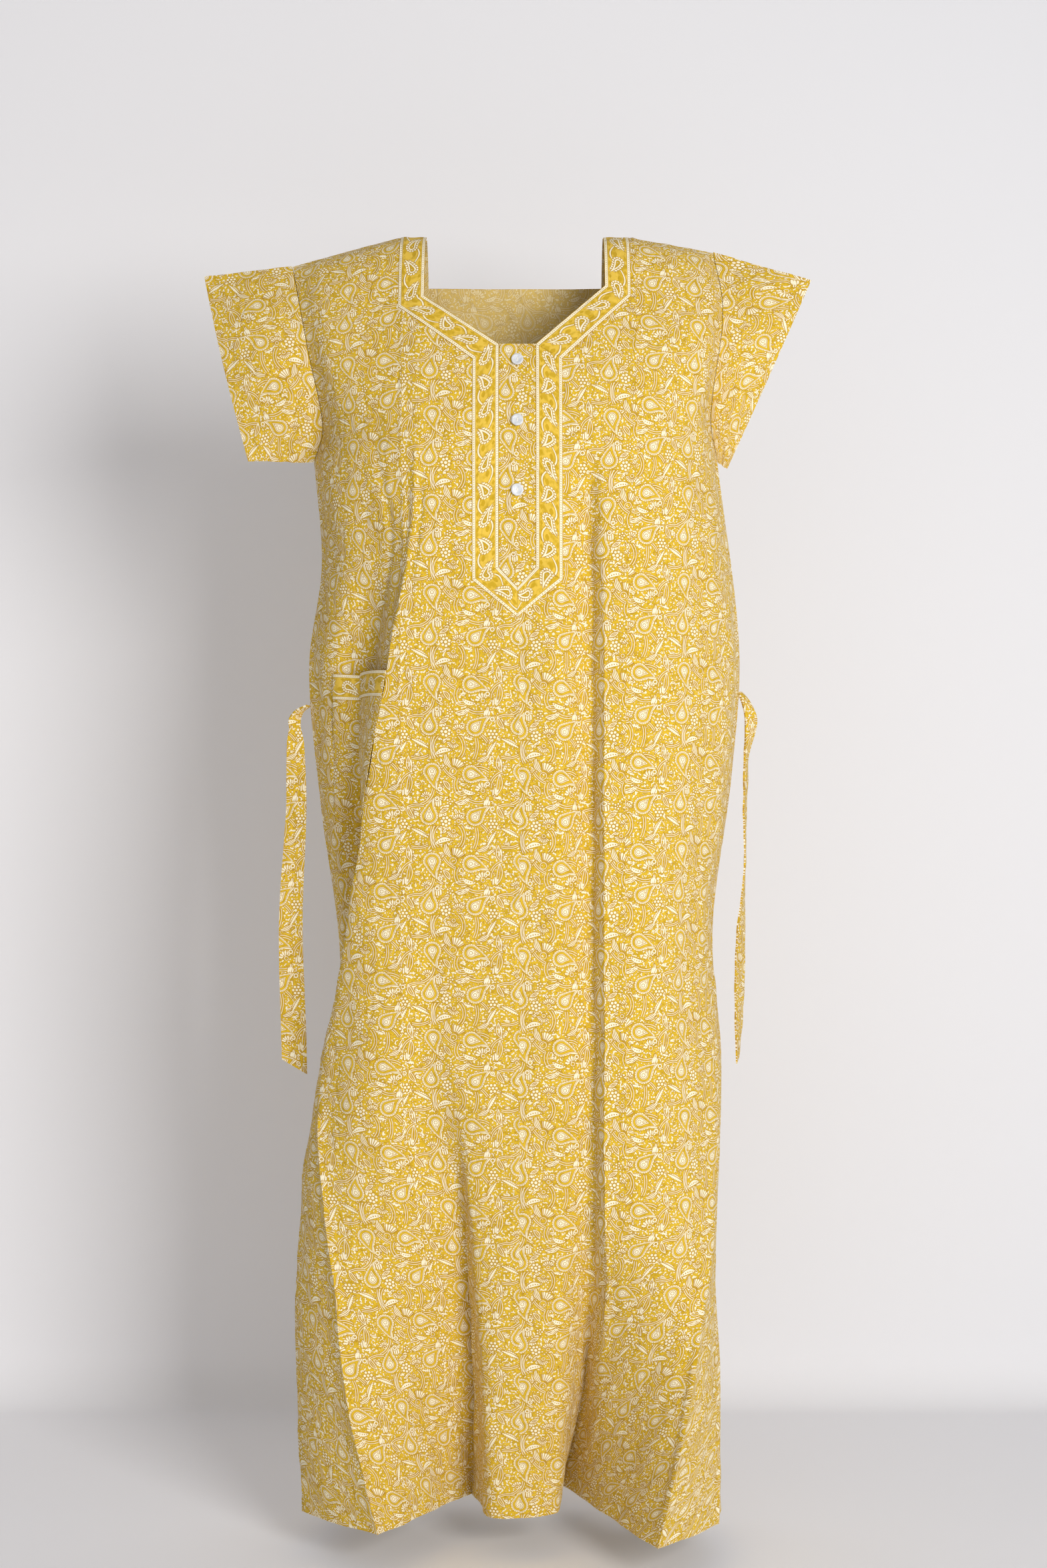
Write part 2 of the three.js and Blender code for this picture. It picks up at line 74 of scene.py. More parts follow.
BACK_NECK_Z = -45.0
PLACKET_X = 3.0
PLACKET_HALF = 19.0
PLACKET_END_Z = -363.0
PLACKET_POINT_Z = -384.0
BORDER_HALF = 46.0
BORDER_END_Z = -376.0
BORDER_POINT_Z = -414.0
SLIT_HALF = 1.6
SLIT_END_Z = -353.0
POCKET_TOP_Z = -468.0
POCKET_BOTTOM_Z = -620.0
POCKET_STAND = 15.0

# Fold lines of the front, wearer's right side seam to the left one: [z, x, y] from underarm to hem
FRONT_FOLDS = [
    [(-240, -214, 0), (-350, -206, 0), (-460, -220, 5), (-606, -208, 10), (-775, -188, 20),
     (-920, -203, 40), (-1170, -212, 45), (-1358, -208, 45)],
    [(-240, -190, -52), (-350, -182, -46), (-460, -190, -34), (-606, -190, -18), (-775, -182, 2),
     (-920, -202, 24), (-1170, -216, 28), (-1358, -214, 27)],
    [(-240, -150, -88), (-330, -134, -82), (-460, -149, -42), (-606, -152, -28), (-775, -166, -14),
     (-920, -198, 6), (-1170, -221, 12), (-1358, -218, 12)],
    [(-240, -100, -110), (-328, -105, -106), (-460, -128, -104), (-567, -148, -98), (-775, -181, -70),
     (-920, -212, -30), (-1000, -224, -20), (-1170, -233, -12), (-1358, -226, -8)],
    [(-240, -88, -111), (-460, -110, -107), (-567, -128, -103), (-775, -166, -84), (-890, -200, -52),
     (-965, -203, -58), (-1121, -184, -74), (-1222, -172, -80), (-1358, -141, -82)],
    [(-240, -76, -112), (-460, -92, -109), (-775, -130, -98), (-890, -145, -88), (-1028, -135, -72),
     (-1222, -112, -45), (-1358, -93, -16)],
    [(-240, -62, -113), (-700, -84, -104), (-897, -82, -84), (-1019, -56, -55), (-1133, -48, -22),
     (-1247, -44, 8), (-1358, -47, 49)],
    [(-240, -38, -113), (-700, -45, -106), (-897, -50, -92), (-1133, -36, -60), (-1358, -25, -29)],
    [(-240, 5, -113), (-700, 5, -107), (-1000, 5, -86), (-1200, 5, -56), (-1358, 5, -31)],
    [(-240, 45, -113), (-700, 48, -106), (-1000, 54, -84), (-1200, 50, -46), (-1358, 45, -14)],
    [(-240, 74, -111), (-330, 75, -98), (-1000, 78, -80), (-1108, 79, -42), (-1242, 73, 18),
     (-1358, 51, 81)],
    [(-240, 92, -110), (-330, 92, -111), (-1000, 93, -101), (-1108, 96, -70), (-1242, 88, -18),
     (-1358, 70, 40)],
    [(-240, 150, -94), (-500, 155, -97), (-740, 150, -96), (-1000, 155, -95), (-1155, 148, -85),
     (-1251, 132, -66), (-1358, 108, -44)],
    [(-240, 198, -50), (-500, 222, -40), (-740, 200, -38), (-900, 212, -38), (-1060, 204, -62),
     (-1155, 189, -93), (-1251, 171, -110), (-1358, 145, -123)],
    [(-240, 216, 0), (-440, 240, 5), (-573, 232, 5), (-740, 211, 0), (-880, 220, -5),
     (-1105, 212, -25), (-1200, 216, -35), (-1358, 214, -49)],
]
CENTRE_FOLD = 8
# Folds that lie in a sharp edge rather than a soft bend: fold, from what height down, how sharp
CRISP = [(3, -260, 0.55), (4, -860, 0.95), (6, -980, 0.9), (10, -1080, 0.8), (11, -330, 0.5),
         (13, -1060, 0.95)]
# Crisp creases pressed along those fold lines: fold, shift across it, top z, bottom z, height, half width
PRESSED = [
    (3, 0, -225, -560, 1.6, 3.4), (3, 8, -235, -400, -1.2, 3.2), (3, -13, -330, -520, -1.1, 4.0),
    (2, 8, -190, -430, -1.6, 5.0), (1, 8, -430, -640, 1.3, 4.0), (2, -6, -560, -800, -1.2, 4.5),
    (4, 0, -880, -1370, 2.2, 4.2), (5, 12, -950, -1130, 1.2, 3.6), (6, -3, -1000, -1370, -2.4, 3.8),
    (6, 7, -1040, -1330, 1.3, 4.2), (10, 5, -330, -1130, -1.4, 3.2), (11, 0, -330, -1200, 1.3, 3.4),
    (12, 14, -400, -640, -0.9, 3.4), (13, -6, -820, -980, 1.0, 4.0), (13, 0, -1120, -1370, 1.6, 4.2),
    (10, 0, -1100, -1370, -1.6, 4.0),
]
CROSS_CREASES = (-330, -640, -905, -1160)  # where the folded gown was pressed across
# Fold lines of the back, left side seam to right side seam
BACK_FOLDS = [
    FRONT_FOLDS[-1],
    [(-240, 192, 48), (-700, 198, 58), (-1050, 208, 52), (-1358, 218, 20)],
    [(-240, 148, 82), (-700, 158, 96), (-1050, 168, 104), (-1358, 176, 105)],
    [(-240, 96, 95), (-700, 104, 90), (-1050, 112, 82), (-1358, 120, 72)],
    [(-240, 40, 99), (-700, 48, 104), (-1050, 58, 122), (-1358, 66, 140)],
    [(-240, -16, 99), (-700, -10, 96), (-1050, -4, 98), (-1358, 0, 102)],
    [(-240, -72, 97), (-700, -66, 104), (-1050, -62, 126), (-1358, -62, 148)],
    [(-240, -124, 90), (-700, -118, 90), (-1050, -120, 88), (-1358, -122, 90)],
    [(-240, -180, 56), (-700, -160, 74), (-1050, -176, 100), (-1358, -180, 120)],
    FRONT_FOLDS[0],
]
# From shoulder seam (0) to underarm (1): how far the cloth has come forward or back
YOKE_DEPTH = [(0, 0), (0.05, 0.24), (0.15, 0.42), (0.3, 0.56), (0.55, 0.79), (0.8, 0.94), (1, 1)]
ARMHOLE_BULGE = 38.0
YOKE_FLAT = 110.0  # the yoke keeps its shape this far either side of the middle
ARMHOLE = {
    "right": [(0, -237), (0.5, -216), (0.85, -203), (1, -214)],
    "left": [(0, 211), (0.3, 219), (0.8, 207), (1, 216)],
}
SHOULDER_FLAT = 125.0
SHOULDER_END_Z = {"right": -30.0, "left": -15.0}
SLEEVE = {
    "right": {"top": (-332, -41), "bottom": (-285, -239)},
    "left": {"top": (317, -45), "bottom": (227, -247)},
}
SLEEVE_HALF_DEPTH = 24.0
SLEEVE_GAP = 2.0


# ---------------------------------------------------------------- camera, light and room

CAMERA_X, CAMERA_Y, CAMERA_Z = 9.3, -2330.0, -584.0
LENS = 50.05
WALL_Y = 560.0
FLOOR_Z = -1402.0
FLOOR_FRONT_Y = -6000
WALL_TOP_Z = 3000
COVE = 60  # radius of the turn from the floor up into the wall
ROOM_HALF = 5  # metres


def srgb(r, g, b):
    """A colour given as it looks on a screen, 0 to 255, as the linear values a shader takes."""
    def linear(c):
        c = c / 255
        return c / 12.92 if c <= 0.04045 else ((c + 0.055) / 1.055) ** 2.4
    return (linear(r), linear(g), linear(b), 1.0)


def add_camera():
    data = bpy.data.cameras.new("camera")
    data.lens = LENS
    data.sensor_width = 36.0
    data.clip_end = 20.0
    camera = bpy.data.objects.new("camera", data)
    camera.location = Vector((CAMERA_X, CAMERA_Y, CAMERA_Z)) * MM
    camera.rotation_euler = (math.pi / 2, 0, 0)
    bpy.context.scene.collection.objects.link(camera)
    bpy.context.scene.camera = camera


def area_light(name, place, aim, size, watts, colour):
    data = bpy.data.lights.new(name, "AREA")
    data.shape = "RECTANGLE"
    data.size, data.size_y = size
    data.energy = watts
    data.color = colour
    light = bpy.data.objects.new(name, data)
    light.location = place
    light.rotation_euler = (Vector(aim) - Vector(place)).to_track_quat("-Z", "Y").to_euler()
    bpy.context.scene.collection.objects.link(light)


def add_lights():
    area_light("key", (1.35, -2.75, -0.1), (0.0, 0.1, -0.62), (1.2, 1.4), 71, (1.0, 0.985, 0.965))
    area_light("fill", (-1.2, -3.4, -0.3), (0.0, 0.2, -0.7), (2.2, 2.2), 9, (1.0, 0.99, 0.98))
    world = bpy.data.worlds.new("world")
    world.use_nodes = True
    background = world.node_tree.nodes["Background"]
    background.inputs["Color"].default_value = (0.97, 0.97, 1.0, 1.0)
    background.inputs["Strength"].default_value = 0.3
    bpy.context.scene.world = world
    bpy.context.scene.view_settings.view_transform = "Standard"


def new_material(name):
    """A new material, its node tree and its main shader."""
    material = bpy.data.materials.new(name)
    material.use_nodes = True
    return material, material.node_tree, material.node_tree.nodes["Principled BSDF"]


def room_material():
    """Pale plaster, clear from behind so that the wall doesn't hide the gown's back. It glows faintly,
    which is painted light, and is painted lighter at the left and darker at the right to even out the key
    light.
    """
    material, tree, shader = new_material("room_plaster")
    shader.inputs["Roughness"].default_value = 0.9
    # Painted light: the plaster glows faintly by its own emission, which lifts the wall, the floor and
    # the shadows on them.
    shader.inputs["Emission Color"].default_value = (1.0, 0.98, 0.97, 1.0)
    shader.inputs["Emission Strength"].default_value = 0.05
    place_in_room = tree.nodes.new("ShaderNodeTexCoord")
    split = tree.nodes.new("ShaderNodeSeparateXYZ")
    tree.links.new(place_in_room.outputs["Object"], split.inputs[0])
    # Painted light: the plaster is coloured lighter at the left and darker at the right, which evens out
    # the brighter key light on the right of the wall.
    across = Value(tree, split.outputs[0]).times_plus(0.6, 0.5).high(0.0).low(1.0)
    colour = mix_colour(tree, across, srgb(243, 242, 244), srgb(226, 226, 229))
    tree.links.new(colour, shader.inputs["Base Color"])
    clear = tree.nodes.new("ShaderNodeBsdfTransparent")
    side = tree.nodes.new("ShaderNodeNewGeometry")
    mix = tree.nodes.new("ShaderNodeMixShader")
    tree.links.new(side.outputs["Backfacing"], mix.inputs[0])
    tree.links.new(shader.outputs[0], mix.inputs[1])
    tree.links.new(clear.outputs[0], mix.inputs[2])
    tree.links.new(mix.outputs[0], tree.nodes["Material Output"].inputs["Surface"])
    return material


def add_room():
    """A floor that turns up into the wall behind in one soft curve."""
    profile = [(FLOOR_FRONT_Y, FLOOR_Z), (WALL_Y - COVE, FLOOR_Z)]
    for i in range(1, 9):
        turn = i / 8 * math.pi / 2
        profile.append((WALL_Y - COVE + COVE * math.sin(turn), FLOOR_Z + COVE * (1 - math.cos(turn))))
    profile.append((WALL_Y, WALL_TOP_Z))
    verts, faces = [], []
    for y, z in profile:
        verts += [(x, y * MM, z * MM) for x in (-ROOM_HALF, ROOM_HALF)]
    for i in range(len(profile) - 1):
        faces.append((2 * i, 2 * i + 1, 2 * i + 3, 2 * i + 2))
    mesh = bpy.data.meshes.new("room")
    mesh.from_pydata(verts, [], faces)
    mesh.materials.append(room_material())
    for face in mesh.polygons:
        face.use_smooth = True
    room = bpy.data.objects.new("room", mesh)
    bpy.context.scene.collection.objects.link(room)


# ---------------------------------------------------------------- shader arithmetic

class Value:
    """A number in a shader, so that a pattern can be written as ordinary arithmetic."""

    def __init__(self, tree, socket):
        self.tree, self.socket = tree, socket

    def math(self, operation, *others):
        node = self.tree.nodes.new("ShaderNodeMath")
        node.operation = operation
        for slot, value in zip(node.inputs, (self, *others)):
            if isinstance(value, Value):
                self.tree.links.new(value.socket, slot)
            else:
                slot.default_value = value
        return Value(self.tree, node.outputs[0])

    def __add__(self, other): return self.math("ADD", other)
    def __sub__(self, other): return self.math("SUBTRACT", other)
    def __mul__(self, other): return self.math("MULTIPLY", other)
    def __neg__(self): return self.math("MULTIPLY", -1.0)
    def __abs__(self): return self.math("ABSOLUTE")
    def __rsub__(self, other): return self.math("MULTIPLY_ADD", -1.0, other)
    def times_plus(self, factor, extra): return self.math("MULTIPLY_ADD", factor, extra)
    def low(self, other): return self.math("MINIMUM", other)
    def high(self, other): return self.math("MAXIMUM", other)
    def over(self, other): return self.math("GREATER_THAN", other)
    def sin(self): return self.math("SINE")
    def wrap(self, top, bottom): return self.math("WRAP", top, bottom)
    def fold(self, span): return self.math("PINGPONG", span)


class Plane:
    """A point on the cloth, in millimetres, seen from a motif's own place and turn."""

    def __init__(self, tree, socket, centre=(0.0, 0.0), degrees=0.0, mirror=False):
        self.tree, self.socket, self.centre = tree, socket, centre
        turn = math.radians(degrees)
        self.across = (math.cos(turn), math.sin(turn))
        if mirror:
            self.across = (-self.across[0], -self.across[1])
        self.up = (-math.sin(turn), math.cos(turn))
        self.read = None

    def vector_math(self, operation, *points):
        node = self.tree.nodes.new("ShaderNodeVectorMath")
        node.operation = operation
        self.tree.links.new(self.socket, node.inputs[0])
        for slot, point in zip(node.inputs[1:], points):
            slot.default_value = point
        return node

    def at(self, x, y, degrees=0.0, mirror=False, repeat=None):
        """The same plane seen from a place on it, and repeated every `repeat` millimetres if given."""
        socket = self.socket
        if repeat:
            half = (repeat[0] / 2, repeat[1] / 2)
            top, bottom = (x + half[0], y + half[1], 1), (x - half[0], y - half[1], -1)
            socket = self.vector_math("WRAP", top, bottom).outputs[0]
        return Plane(self.tree, socket, (x, y), degrees, mirror)

    def along_axis(self, axis):
        node = self.vector_math("DOT_PRODUCT", (axis[0], axis[1], 0))
        offset = axis[0] * self.centre[0] + axis[1] * self.centre[1]
        return Value(self.tree, node.outputs["Value"]) - offset

    def xy(self):
        if self.read is None:
            self.read = (self.along_axis(self.across), self.along_axis(self.up))
        return self.read

    def distance(self, x=0.0, y=0.0):
        spot = [c + x * a + y * u for c, a, u in zip(self.centre, self.across, self.up)]
        return Value(self.tree, self.vector_math("DISTANCE", (*spot, 0)).outputs["Value"])


def plane_of(tree, x, y):
    join = tree.nodes.new("ShaderNodeCombineXYZ")
    tree.links.new(x.socket, join.inputs[0])
    tree.links.new(y.socket, join.inputs[1])
    return Plane(tree, join.outputs[0])


# ---------------------------------------------------------------- printed motifs
# Each returns how far a point is outside the cream shape, in millimetres, negative inside it.

def teardrop(plane, radius, height, lean):
    """Distance outside a drop with its round end at the origin and its tip at `height`, leaning."""
    x, y = plane.xy()
    high = y.high(0.0)
    x = (high * high).times_plus(-lean / height ** 2, x)
    slope = radius / height
    rise = math.sqrt(1 - slope * slope)
    side = abs(x)
    flank = side.times_plus(rise, y * slope - radius)
    cap = plane.distance() - radius
    past = (y * rise - side * slope).over(0.0)
    return past * (flank - cap) + cap


def paisley(plane, radius=9.2, height=19.0, lean=8.5):
    """Two cream rings round a mustard one, and a cream heart with seeds, its tip curled over."""
    out = teardrop(plane, radius, height, lean)
    depth = -out
    x, y = plane.xy()
    scallop = (y.math("ARCTAN2", x) * 22.0).sin()
    rings = (abs(depth - 1.0) - 1.05).high(scallop.times_plus(0.4, 0.2 - depth))
    shape = rings.high(0.16 - abs(depth - 1.3))
    shape = shape.low(abs(depth - 4.95) - 0.36)
    heart = 5.8 - depth
    heart = heart.high(0.2 - abs(plane.distance(0.0, -0.4) - 1.7))
    heart = heart.high(0.2 - abs(plane.distance(0.6, 3.6) - 0.8))
    shape = shape.low(heart)
    hook = abs(plane.distance(lean + 2.0, height - 2.6) - 1.9) - 0.6
    return shape.low(hook), out.low(hook + 0.6)


def leaf_edge(plane, length, width, bend):
    """Distance outside a pointed leaf along the local y, and the bent x it is drawn in."""
    x, y = plane.xy()
    t = y * (2 / length)
    curve = t * t
    if bend:
        x = curve.times_plus(bend, x)
    return abs(x) + curve.times_plus(width / 2, -width / 2), x


def leaf(plane, length, width, bend=0.0):
    """A leaf hatched along its length."""
    edge, x = leaf_edge(plane, length, width, bend)
    return edge.high(0.2 - abs(x.wrap(0.8, -0.8)))


def open_leaf(plane, length, width, bend=0.0):
    """A leaf with a cream edge and rib on mustard."""
    edge, x = leaf_edge(plane, length, width, bend)
    return (abs(edge + 0.55) - 0.5).low((abs(x) - 0.35).high(edge))


def toothed_leaf(plane, length, width, bend=0.0):
    """A leaf with a sawn edge and a rib off its middle."""
    edge, x = leaf_edge(plane, length, width, bend)
    tooth = plane.xy()[1].fold(1.1).times_plus(0.9, edge - 0.4)
    return tooth.high(0.22 - abs(x - 0.7))


def berries(plane, count, ring, size):
    """A ring of round berries about a middle one."""
    x, y = plane.xy()
    reach = plane.distance()
    turn = y.math("ARCTAN2", x).fold(math.pi / count)
    spoke = turn.math("COSINE").times_plus(-2 * ring, reach)
    away = (reach * spoke).math("ADD", ring * ring).math("SQRT") - size
    return away.low(reach - (ring - size - 0.8))


def fan(plane, radius, spread=1.25, petals=7):
    """Petals that open from one point, in a half round."""
    x, y = plane.xy()
    reach = plane.distance()
    turn = x.math("ARCTAN2", y)
    ray = turn.fold(spread / petals)
    tip = ray.times_plus(-radius * 0.9, reach - radius * 0.88)
    shape = (0.25 - ray * reach).high(tip).high(abs(turn).times_plus(4.0, -4.0 * spread))
    shape = shape.high(radius * 0.42 - reach)
    return shape.low(abs(reach - radius * 0.24) - 0.42)


def tulip(plane, width, height):
    """Three upright petals side by side."""
    x, y = plane.xy()
    side = abs(x)
    petal = (0.22 - abs(side - width / 6)).high(side - width / 2)
    cup = (y * y).times_plus(1.6 / height, side - width * 0.62)
    return petal.high(abs(y) - height / 2).high(cup)


def stem(plane, radius, length, half=1.15):
    """Two cream lines either side of a mustard one, along an arc through the origin."""
    y = plane.xy()[1]
    off = plane.distance(radius, 0.0) - abs(radius)
    pair = abs(abs(off) - half) - 0.45
    return pair.high(abs(y) - length / 2)


def blob(plane, radius, points=5, depth=0.3):
    """A spiky patch of bare ground with a few strokes across it."""
    x, y = plane.xy()
    wave = (y.math("ARCTAN2", x) * float(points)).sin()
    patch = wave.times_plus(-radius * depth, plane.distance() - radius)
    return patch.high(0.2 - abs((x + 0.5).wrap(1.1, -1.1)))


def dotted_arch(plane, length, width):
    """An arched petal with a row of brown dots along it."""
    x, y = plane.xy()
    t = y * (2 / length)
    across = (t * t).times_plus(-width * 0.55, x)
    lens = abs(across) + (t * t).times_plus(width / 2, -width / 2)
    step = y.wrap(1.25, -1.25)
    dot = (step * step + (across - 0.3) * (across - 0.3)).math("SQRT")
    return lens.high(0.5 - dot)


def curl(plane, radius, half=0.55):
    """A cream hook: most of a ring, open on one side."""
    x, y = plane.xy()
    ring = abs(plane.distance() - radius) - half
    return ring.high(0.6 - y.high(x))


TILE = (92.0, 92.0)
INK_SPREAD = 0.1  # how far the ink has crept over the edge of the smaller cream shapes
# (motif, x, y, turn in degrees, mirrored, sizes): one repeat of the cloth's print, in millimetres
PAISLEYS = [(0, 0, 8, False), (3, -46.5, 172, True), (47, -1, -32, False), (43, -49, -88, False)]
MOTIFS = [
    (tulip, 9.5, 13.5, 5, False, {"width": 6.5, "height": 7.5}),
    (berries, 21, 15, 0, False, {"count": 5, "ring": 2.6, "size": 1.05}),
    (open_leaf, 34, 14, -78, False, {"length": 16, "width": 5.4, "bend": 1.6}),
    (open_leaf, 15.5, 6, -65, False, {"length": 11, "width": 4.2}),
    (berries, 17, -5.5, 20, False, {"count": 7, "ring": 4.0, "size": 1.5}),
    (fan, 30, -5, 0, False, {"radius": 7.0, "petals": 7}),
    (fan, 25, -15.5, 165, False, {"radius": 7.0, "petals": 8}),
    (toothed_leaf, -9, -16.5, 62, False, {"length": 22, "width": 4.8, "bend": 1.2}),
    (stem, 2.6, -22, 4, False, {"radius": 34, "length": 23}),
    (dotted_arch, 14, -24.5, -75, False, {"length": 19, "width": 5.2}),
    (stem, 35.5, -21, 0, False, {"radius": -16, "length": 22, "half": 1.3}),
    (leaf, 18, -36, 22, False, {"length": 17, "width": 6.0, "bend": -2.2}),
    (fan, 24.5, -46, -28, False, {"radius": 14.0, "petals": 5, "spread": 0.6}),
    (stem, -9.5, -32.5, 96, False, {"radius": 22, "length": 18, "half": 0.9}),
    (blob, -19, -38, 0, False, {"radius": 3.2, "points": 5, "depth": 0.35}),
    (open_leaf, -20, -60, -8, False, {"length": 24, "width": 6.4, "bend": 1.8}),
    (stem, 20, -49, 48, False, {"radius": 26, "length": 16, "half": 0.9}),
    (stem, 27.0, -61, 6, False, {"radius": 13, "length": 16, "half": 1.4}),
    (open_leaf, 18.5, -60, 35, False, {"length": 13, "width": 5.2, "bend": 1.0}),
    (berries, 9.5, -58, 12, False, {"count": 5, "ring": 2.7, "size": 1.05}),
    (leaf, 11, -68, 60, False, {"length": 10, "width": 3.4}),
    (fan, -2.5, -73, 10, False, {"radius": 6.0, "petals": 6}),
    (open_leaf, 34, -68.5, -82, False, {"length": 15, "width": 5.4, "bend": 1.6}),
    (leaf, 34.5, -78, -58, True, {"length": 15, "width": 4.4, "bend": -1.4}),
    (tulip, 59, 13, -12, False, {"width": 6.5, "height": 7.5}),
    (berries, 65, -8, 0, False, {"count": 6, "ring": 3.7, "size": 1.45}),
    (toothed_leaf, 63, -23, -30, True, {"length": 20, "width": 4.6, "bend": 1.2}),
    (stem, 49, -23, -6, True, {"radius": 30, "length": 22}),
    (leaf, 56, -34, -62, False, {"length": 16, "width": 5.4, "bend": 1.8}),
    (open_leaf, 71, -39, 12, False, {"length": 19, "width": 5.8, "bend": -1.8}),
    (stem, 66, -53, -38, False, {"radius": 17, "length": 20, "half": 1.0}),
    (fan, 55, -66, 20, False, {"radius": 8.0, "petals": 6}),
    (dotted_arch, 40, -68, 70, False, {"length": 16, "width": 4.6}),
    (stem, 47, -78, 80, False, {"radius": 18, "length": 17}),
    (leaf, 59, -78, -20, False, {"length": 14, "width": 5.2, "bend": 1.4}),
    (blob, 67, -67, 0, False, {"radius": 3.6, "points": 5, "depth": 0.3}),
    (open_leaf, 72, 3, 28, False, {"length": 16, "width": 5.2, "bend": -1.6}),
]
# Small leaves and buds that fill the ground between the motifs, each repeated more closely
FILLERS = [
    (leaf, 5, 4, 30, False, {"length": 9, "width": 3.2, "bend": 1.0}, (23, 46)),
    (leaf, 17, 9, -50, False, {"length": 10, "width": 3.4, "bend": -1.2}, (46, 23)),
    (toothed_leaf, 9, 19, 75, False, {"length": 11, "width": 3.6, "bend": 0.8}, (30.667, 30.667)),
    (curl, 2, 13, 40, False, {"radius": 2.1}, (30.667, 23)),
    (fan, 13, 5, -140, False, {"radius": 5.2, "petals": 5}, (30.667, 46)),
    (leaf, 11, 2, 80, False, {"length": 8, "width": 3.0, "bend": 0.9}, (23, 30.667)),
]


def noise(tree, plane, scale, detail=2.0):
    node = tree.nodes.new("ShaderNodeTexNoise")
    node.noise_dimensions = "2D"
    node.inputs["Scale"].default_value = scale
    node.inputs["Detail"].default_value = detail
    tree.links.new(plane.socket, node.inputs["Vector"])
    return Value(tree, node.outputs[0])


def new_group(name, outputs):
    tree = bpy.data.node_groups.new(name, "ShaderNodeTree")
    tree.interface.new_socket("Cloth", in_out="INPUT", socket_type="NodeSocketVector")
    for output in outputs:
        tree.interface.new_socket(output, in_out="OUTPUT", socket_type="NodeSocketFloat")
    start = tree.nodes.new("NodeGroupInput")
    end = tree.nodes.new("NodeGroupOutput")
    return tree, Plane(tree, start.outputs["Cloth"]), end


def lowest(values):
    total = values[0]
    for value in values[1:]:
        total = total.low(value)
    return total


def cotton_print_group():
    """Paisleys, leaves, berries, flowers and stems: how far each point is outside the cream."""
    tree, plane, end = new_group("cotton_print_pattern", ["Outside"])
    drawn = [paisley(plane.at(x, y, turn, mirror, TILE)) for x, y, turn, mirror in PAISLEYS]
    paisleys = lowest([shape for shape, _ in drawn])
    clear = lowest([out for _, out in drawn])
    motifs = lowest([motif(plane.at(x, y, turn, mirror, TILE), **sizes)
                     for motif, x, y, turn, mirror, sizes in MOTIFS])
    fillers = lowest([motif(plane.at(x, y, turn, mirror, repeat), **sizes)
                      for motif, x, y, turn, mirror, sizes, repeat in FILLERS])
    flecks = noise(tree, plane, 0.42, 1.0).times_plus(-6.5, 3.75)
    fillers = fillers.low(flecks).high(0.9 - motifs)
    around = (motifs.low(fillers) + INK_SPREAD).high(1.0 - clear)
    shape = around.low(paisleys)
    tree.links.new(shape.socket, end.inputs["Outside"])
    return tree


DROP_STEP = 28.0  # from one beaded drop to the next along the border


def beaded_drop(plane):
    """A cream drop outline ringed by beads."""
    radius, ring, spacing = 3.0, 2.35, 2.75
    out = teardrop(plane, radius, 12.5, 3.0)
    x, y = plane.xy()
    outline = (abs(out) - 0.75).low(plane.distance(0.3, 0.8) - 0.5)
    run = abs(x).math("ARCTAN2", -y.low(0.0)) * (radius + ring) + y.high(0.0)
    half = spacing / 2
    step = run.wrap(half, -half)
    bead = (step * step + (out - ring) * (out - ring)).math("SQRT") - 1.12
    return outline.low(bead.high(y - 13.0)), out


def border_print_group():
    """A band along local y, 27 mm wide in x: beaded drops on a vine between dotted lines."""
    tree, plane, end = new_group("border_print_pattern", ["Outside", "Dark"])
    x, y = plane.xy()
    wave = y * (math.pi / DROP_STEP)
    x_here = x * wave.sin().math("SIGN")
    y_here = y.wrap(DROP_STEP, 0.0) - DROP_STEP / 2
    cell = plane_of(tree, x_here, y_here)
    drop, out = beaded_drop(cell.at(-0.8, -4.6, -16))
    bend = wave.math("COSINE")
    vine = abs(bend.times_plus(-7.4, x)) * 0.7 - 0.55
    shape = drop.low(vine.high(4.2 - out))
    edge = 11.7 - abs(x)
    speck_y = y.wrap(1.2, -1.2)
    speck = (speck_y * speck_y + edge * edge).math("SQRT")
    shape = shape.low((abs(edge) - 1.4).high(0.42 - speck))
    joints = y.wrap(DROP_STEP / 2, -DROP_STEP / 2)
    pod = abs(bend.times_plus(-2.2, x)) + joints * joints * 0.16 - 2.1
    sprig = (abs(abs(x) - 8.0) + abs(y.wrap(4.0, -4.0)) * 0.55 - 1.7).high(3.9 - out)
    dark = pod.low(sprig).low(out + 0.9)
    tree.links.new(shape.socket, end.inputs["Outside"])
    tree.links.new(dark.socket, end.inputs["Dark"])
    return tree


# ---------------------------------------------------------------- materials

CREAM = srgb(247, 237, 205)
MUSTARD = srgb(222, 183, 44)
MUSTARD_DEEP = srgb(202, 164, 32)
BAND_YELLOW = srgb(232, 194, 74)
OCHRE = srgb(204, 165, 38)
BROWN = srgb(176, 132, 36)
OUTLINE = 0.2  # half width of the brown line round each cream shape


def ramp(tree, value, stops):
    node = tree.nodes.new("ShaderNodeValToRGB")
    elements = node.color_ramp.elements
    while len(elements) < len(stops):
        elements.new(0.5)
    for element, (position, colour) in zip(elements, stops):
        element.position = position
        element.color = colour
    tree.links.new(value.socket, node.inputs[0])
    return node.outputs["Color"]


def mix_colour(tree, factor, first, second):
    node = tree.nodes.new("ShaderNodeMix")
    node.data_type = "RGBA"
    slots = (node.inputs["Factor"], node.inputs[6], node.inputs[7])
    for slot, value in zip(slots, (factor, first, second)):
        if isinstance(value, Value):
            tree.links.new(value.socket, slot)
        elif hasattr(value, "node"):
            tree.links.new(value, slot)
        else:
            slot.default_value = value
    return node.outputs[2]


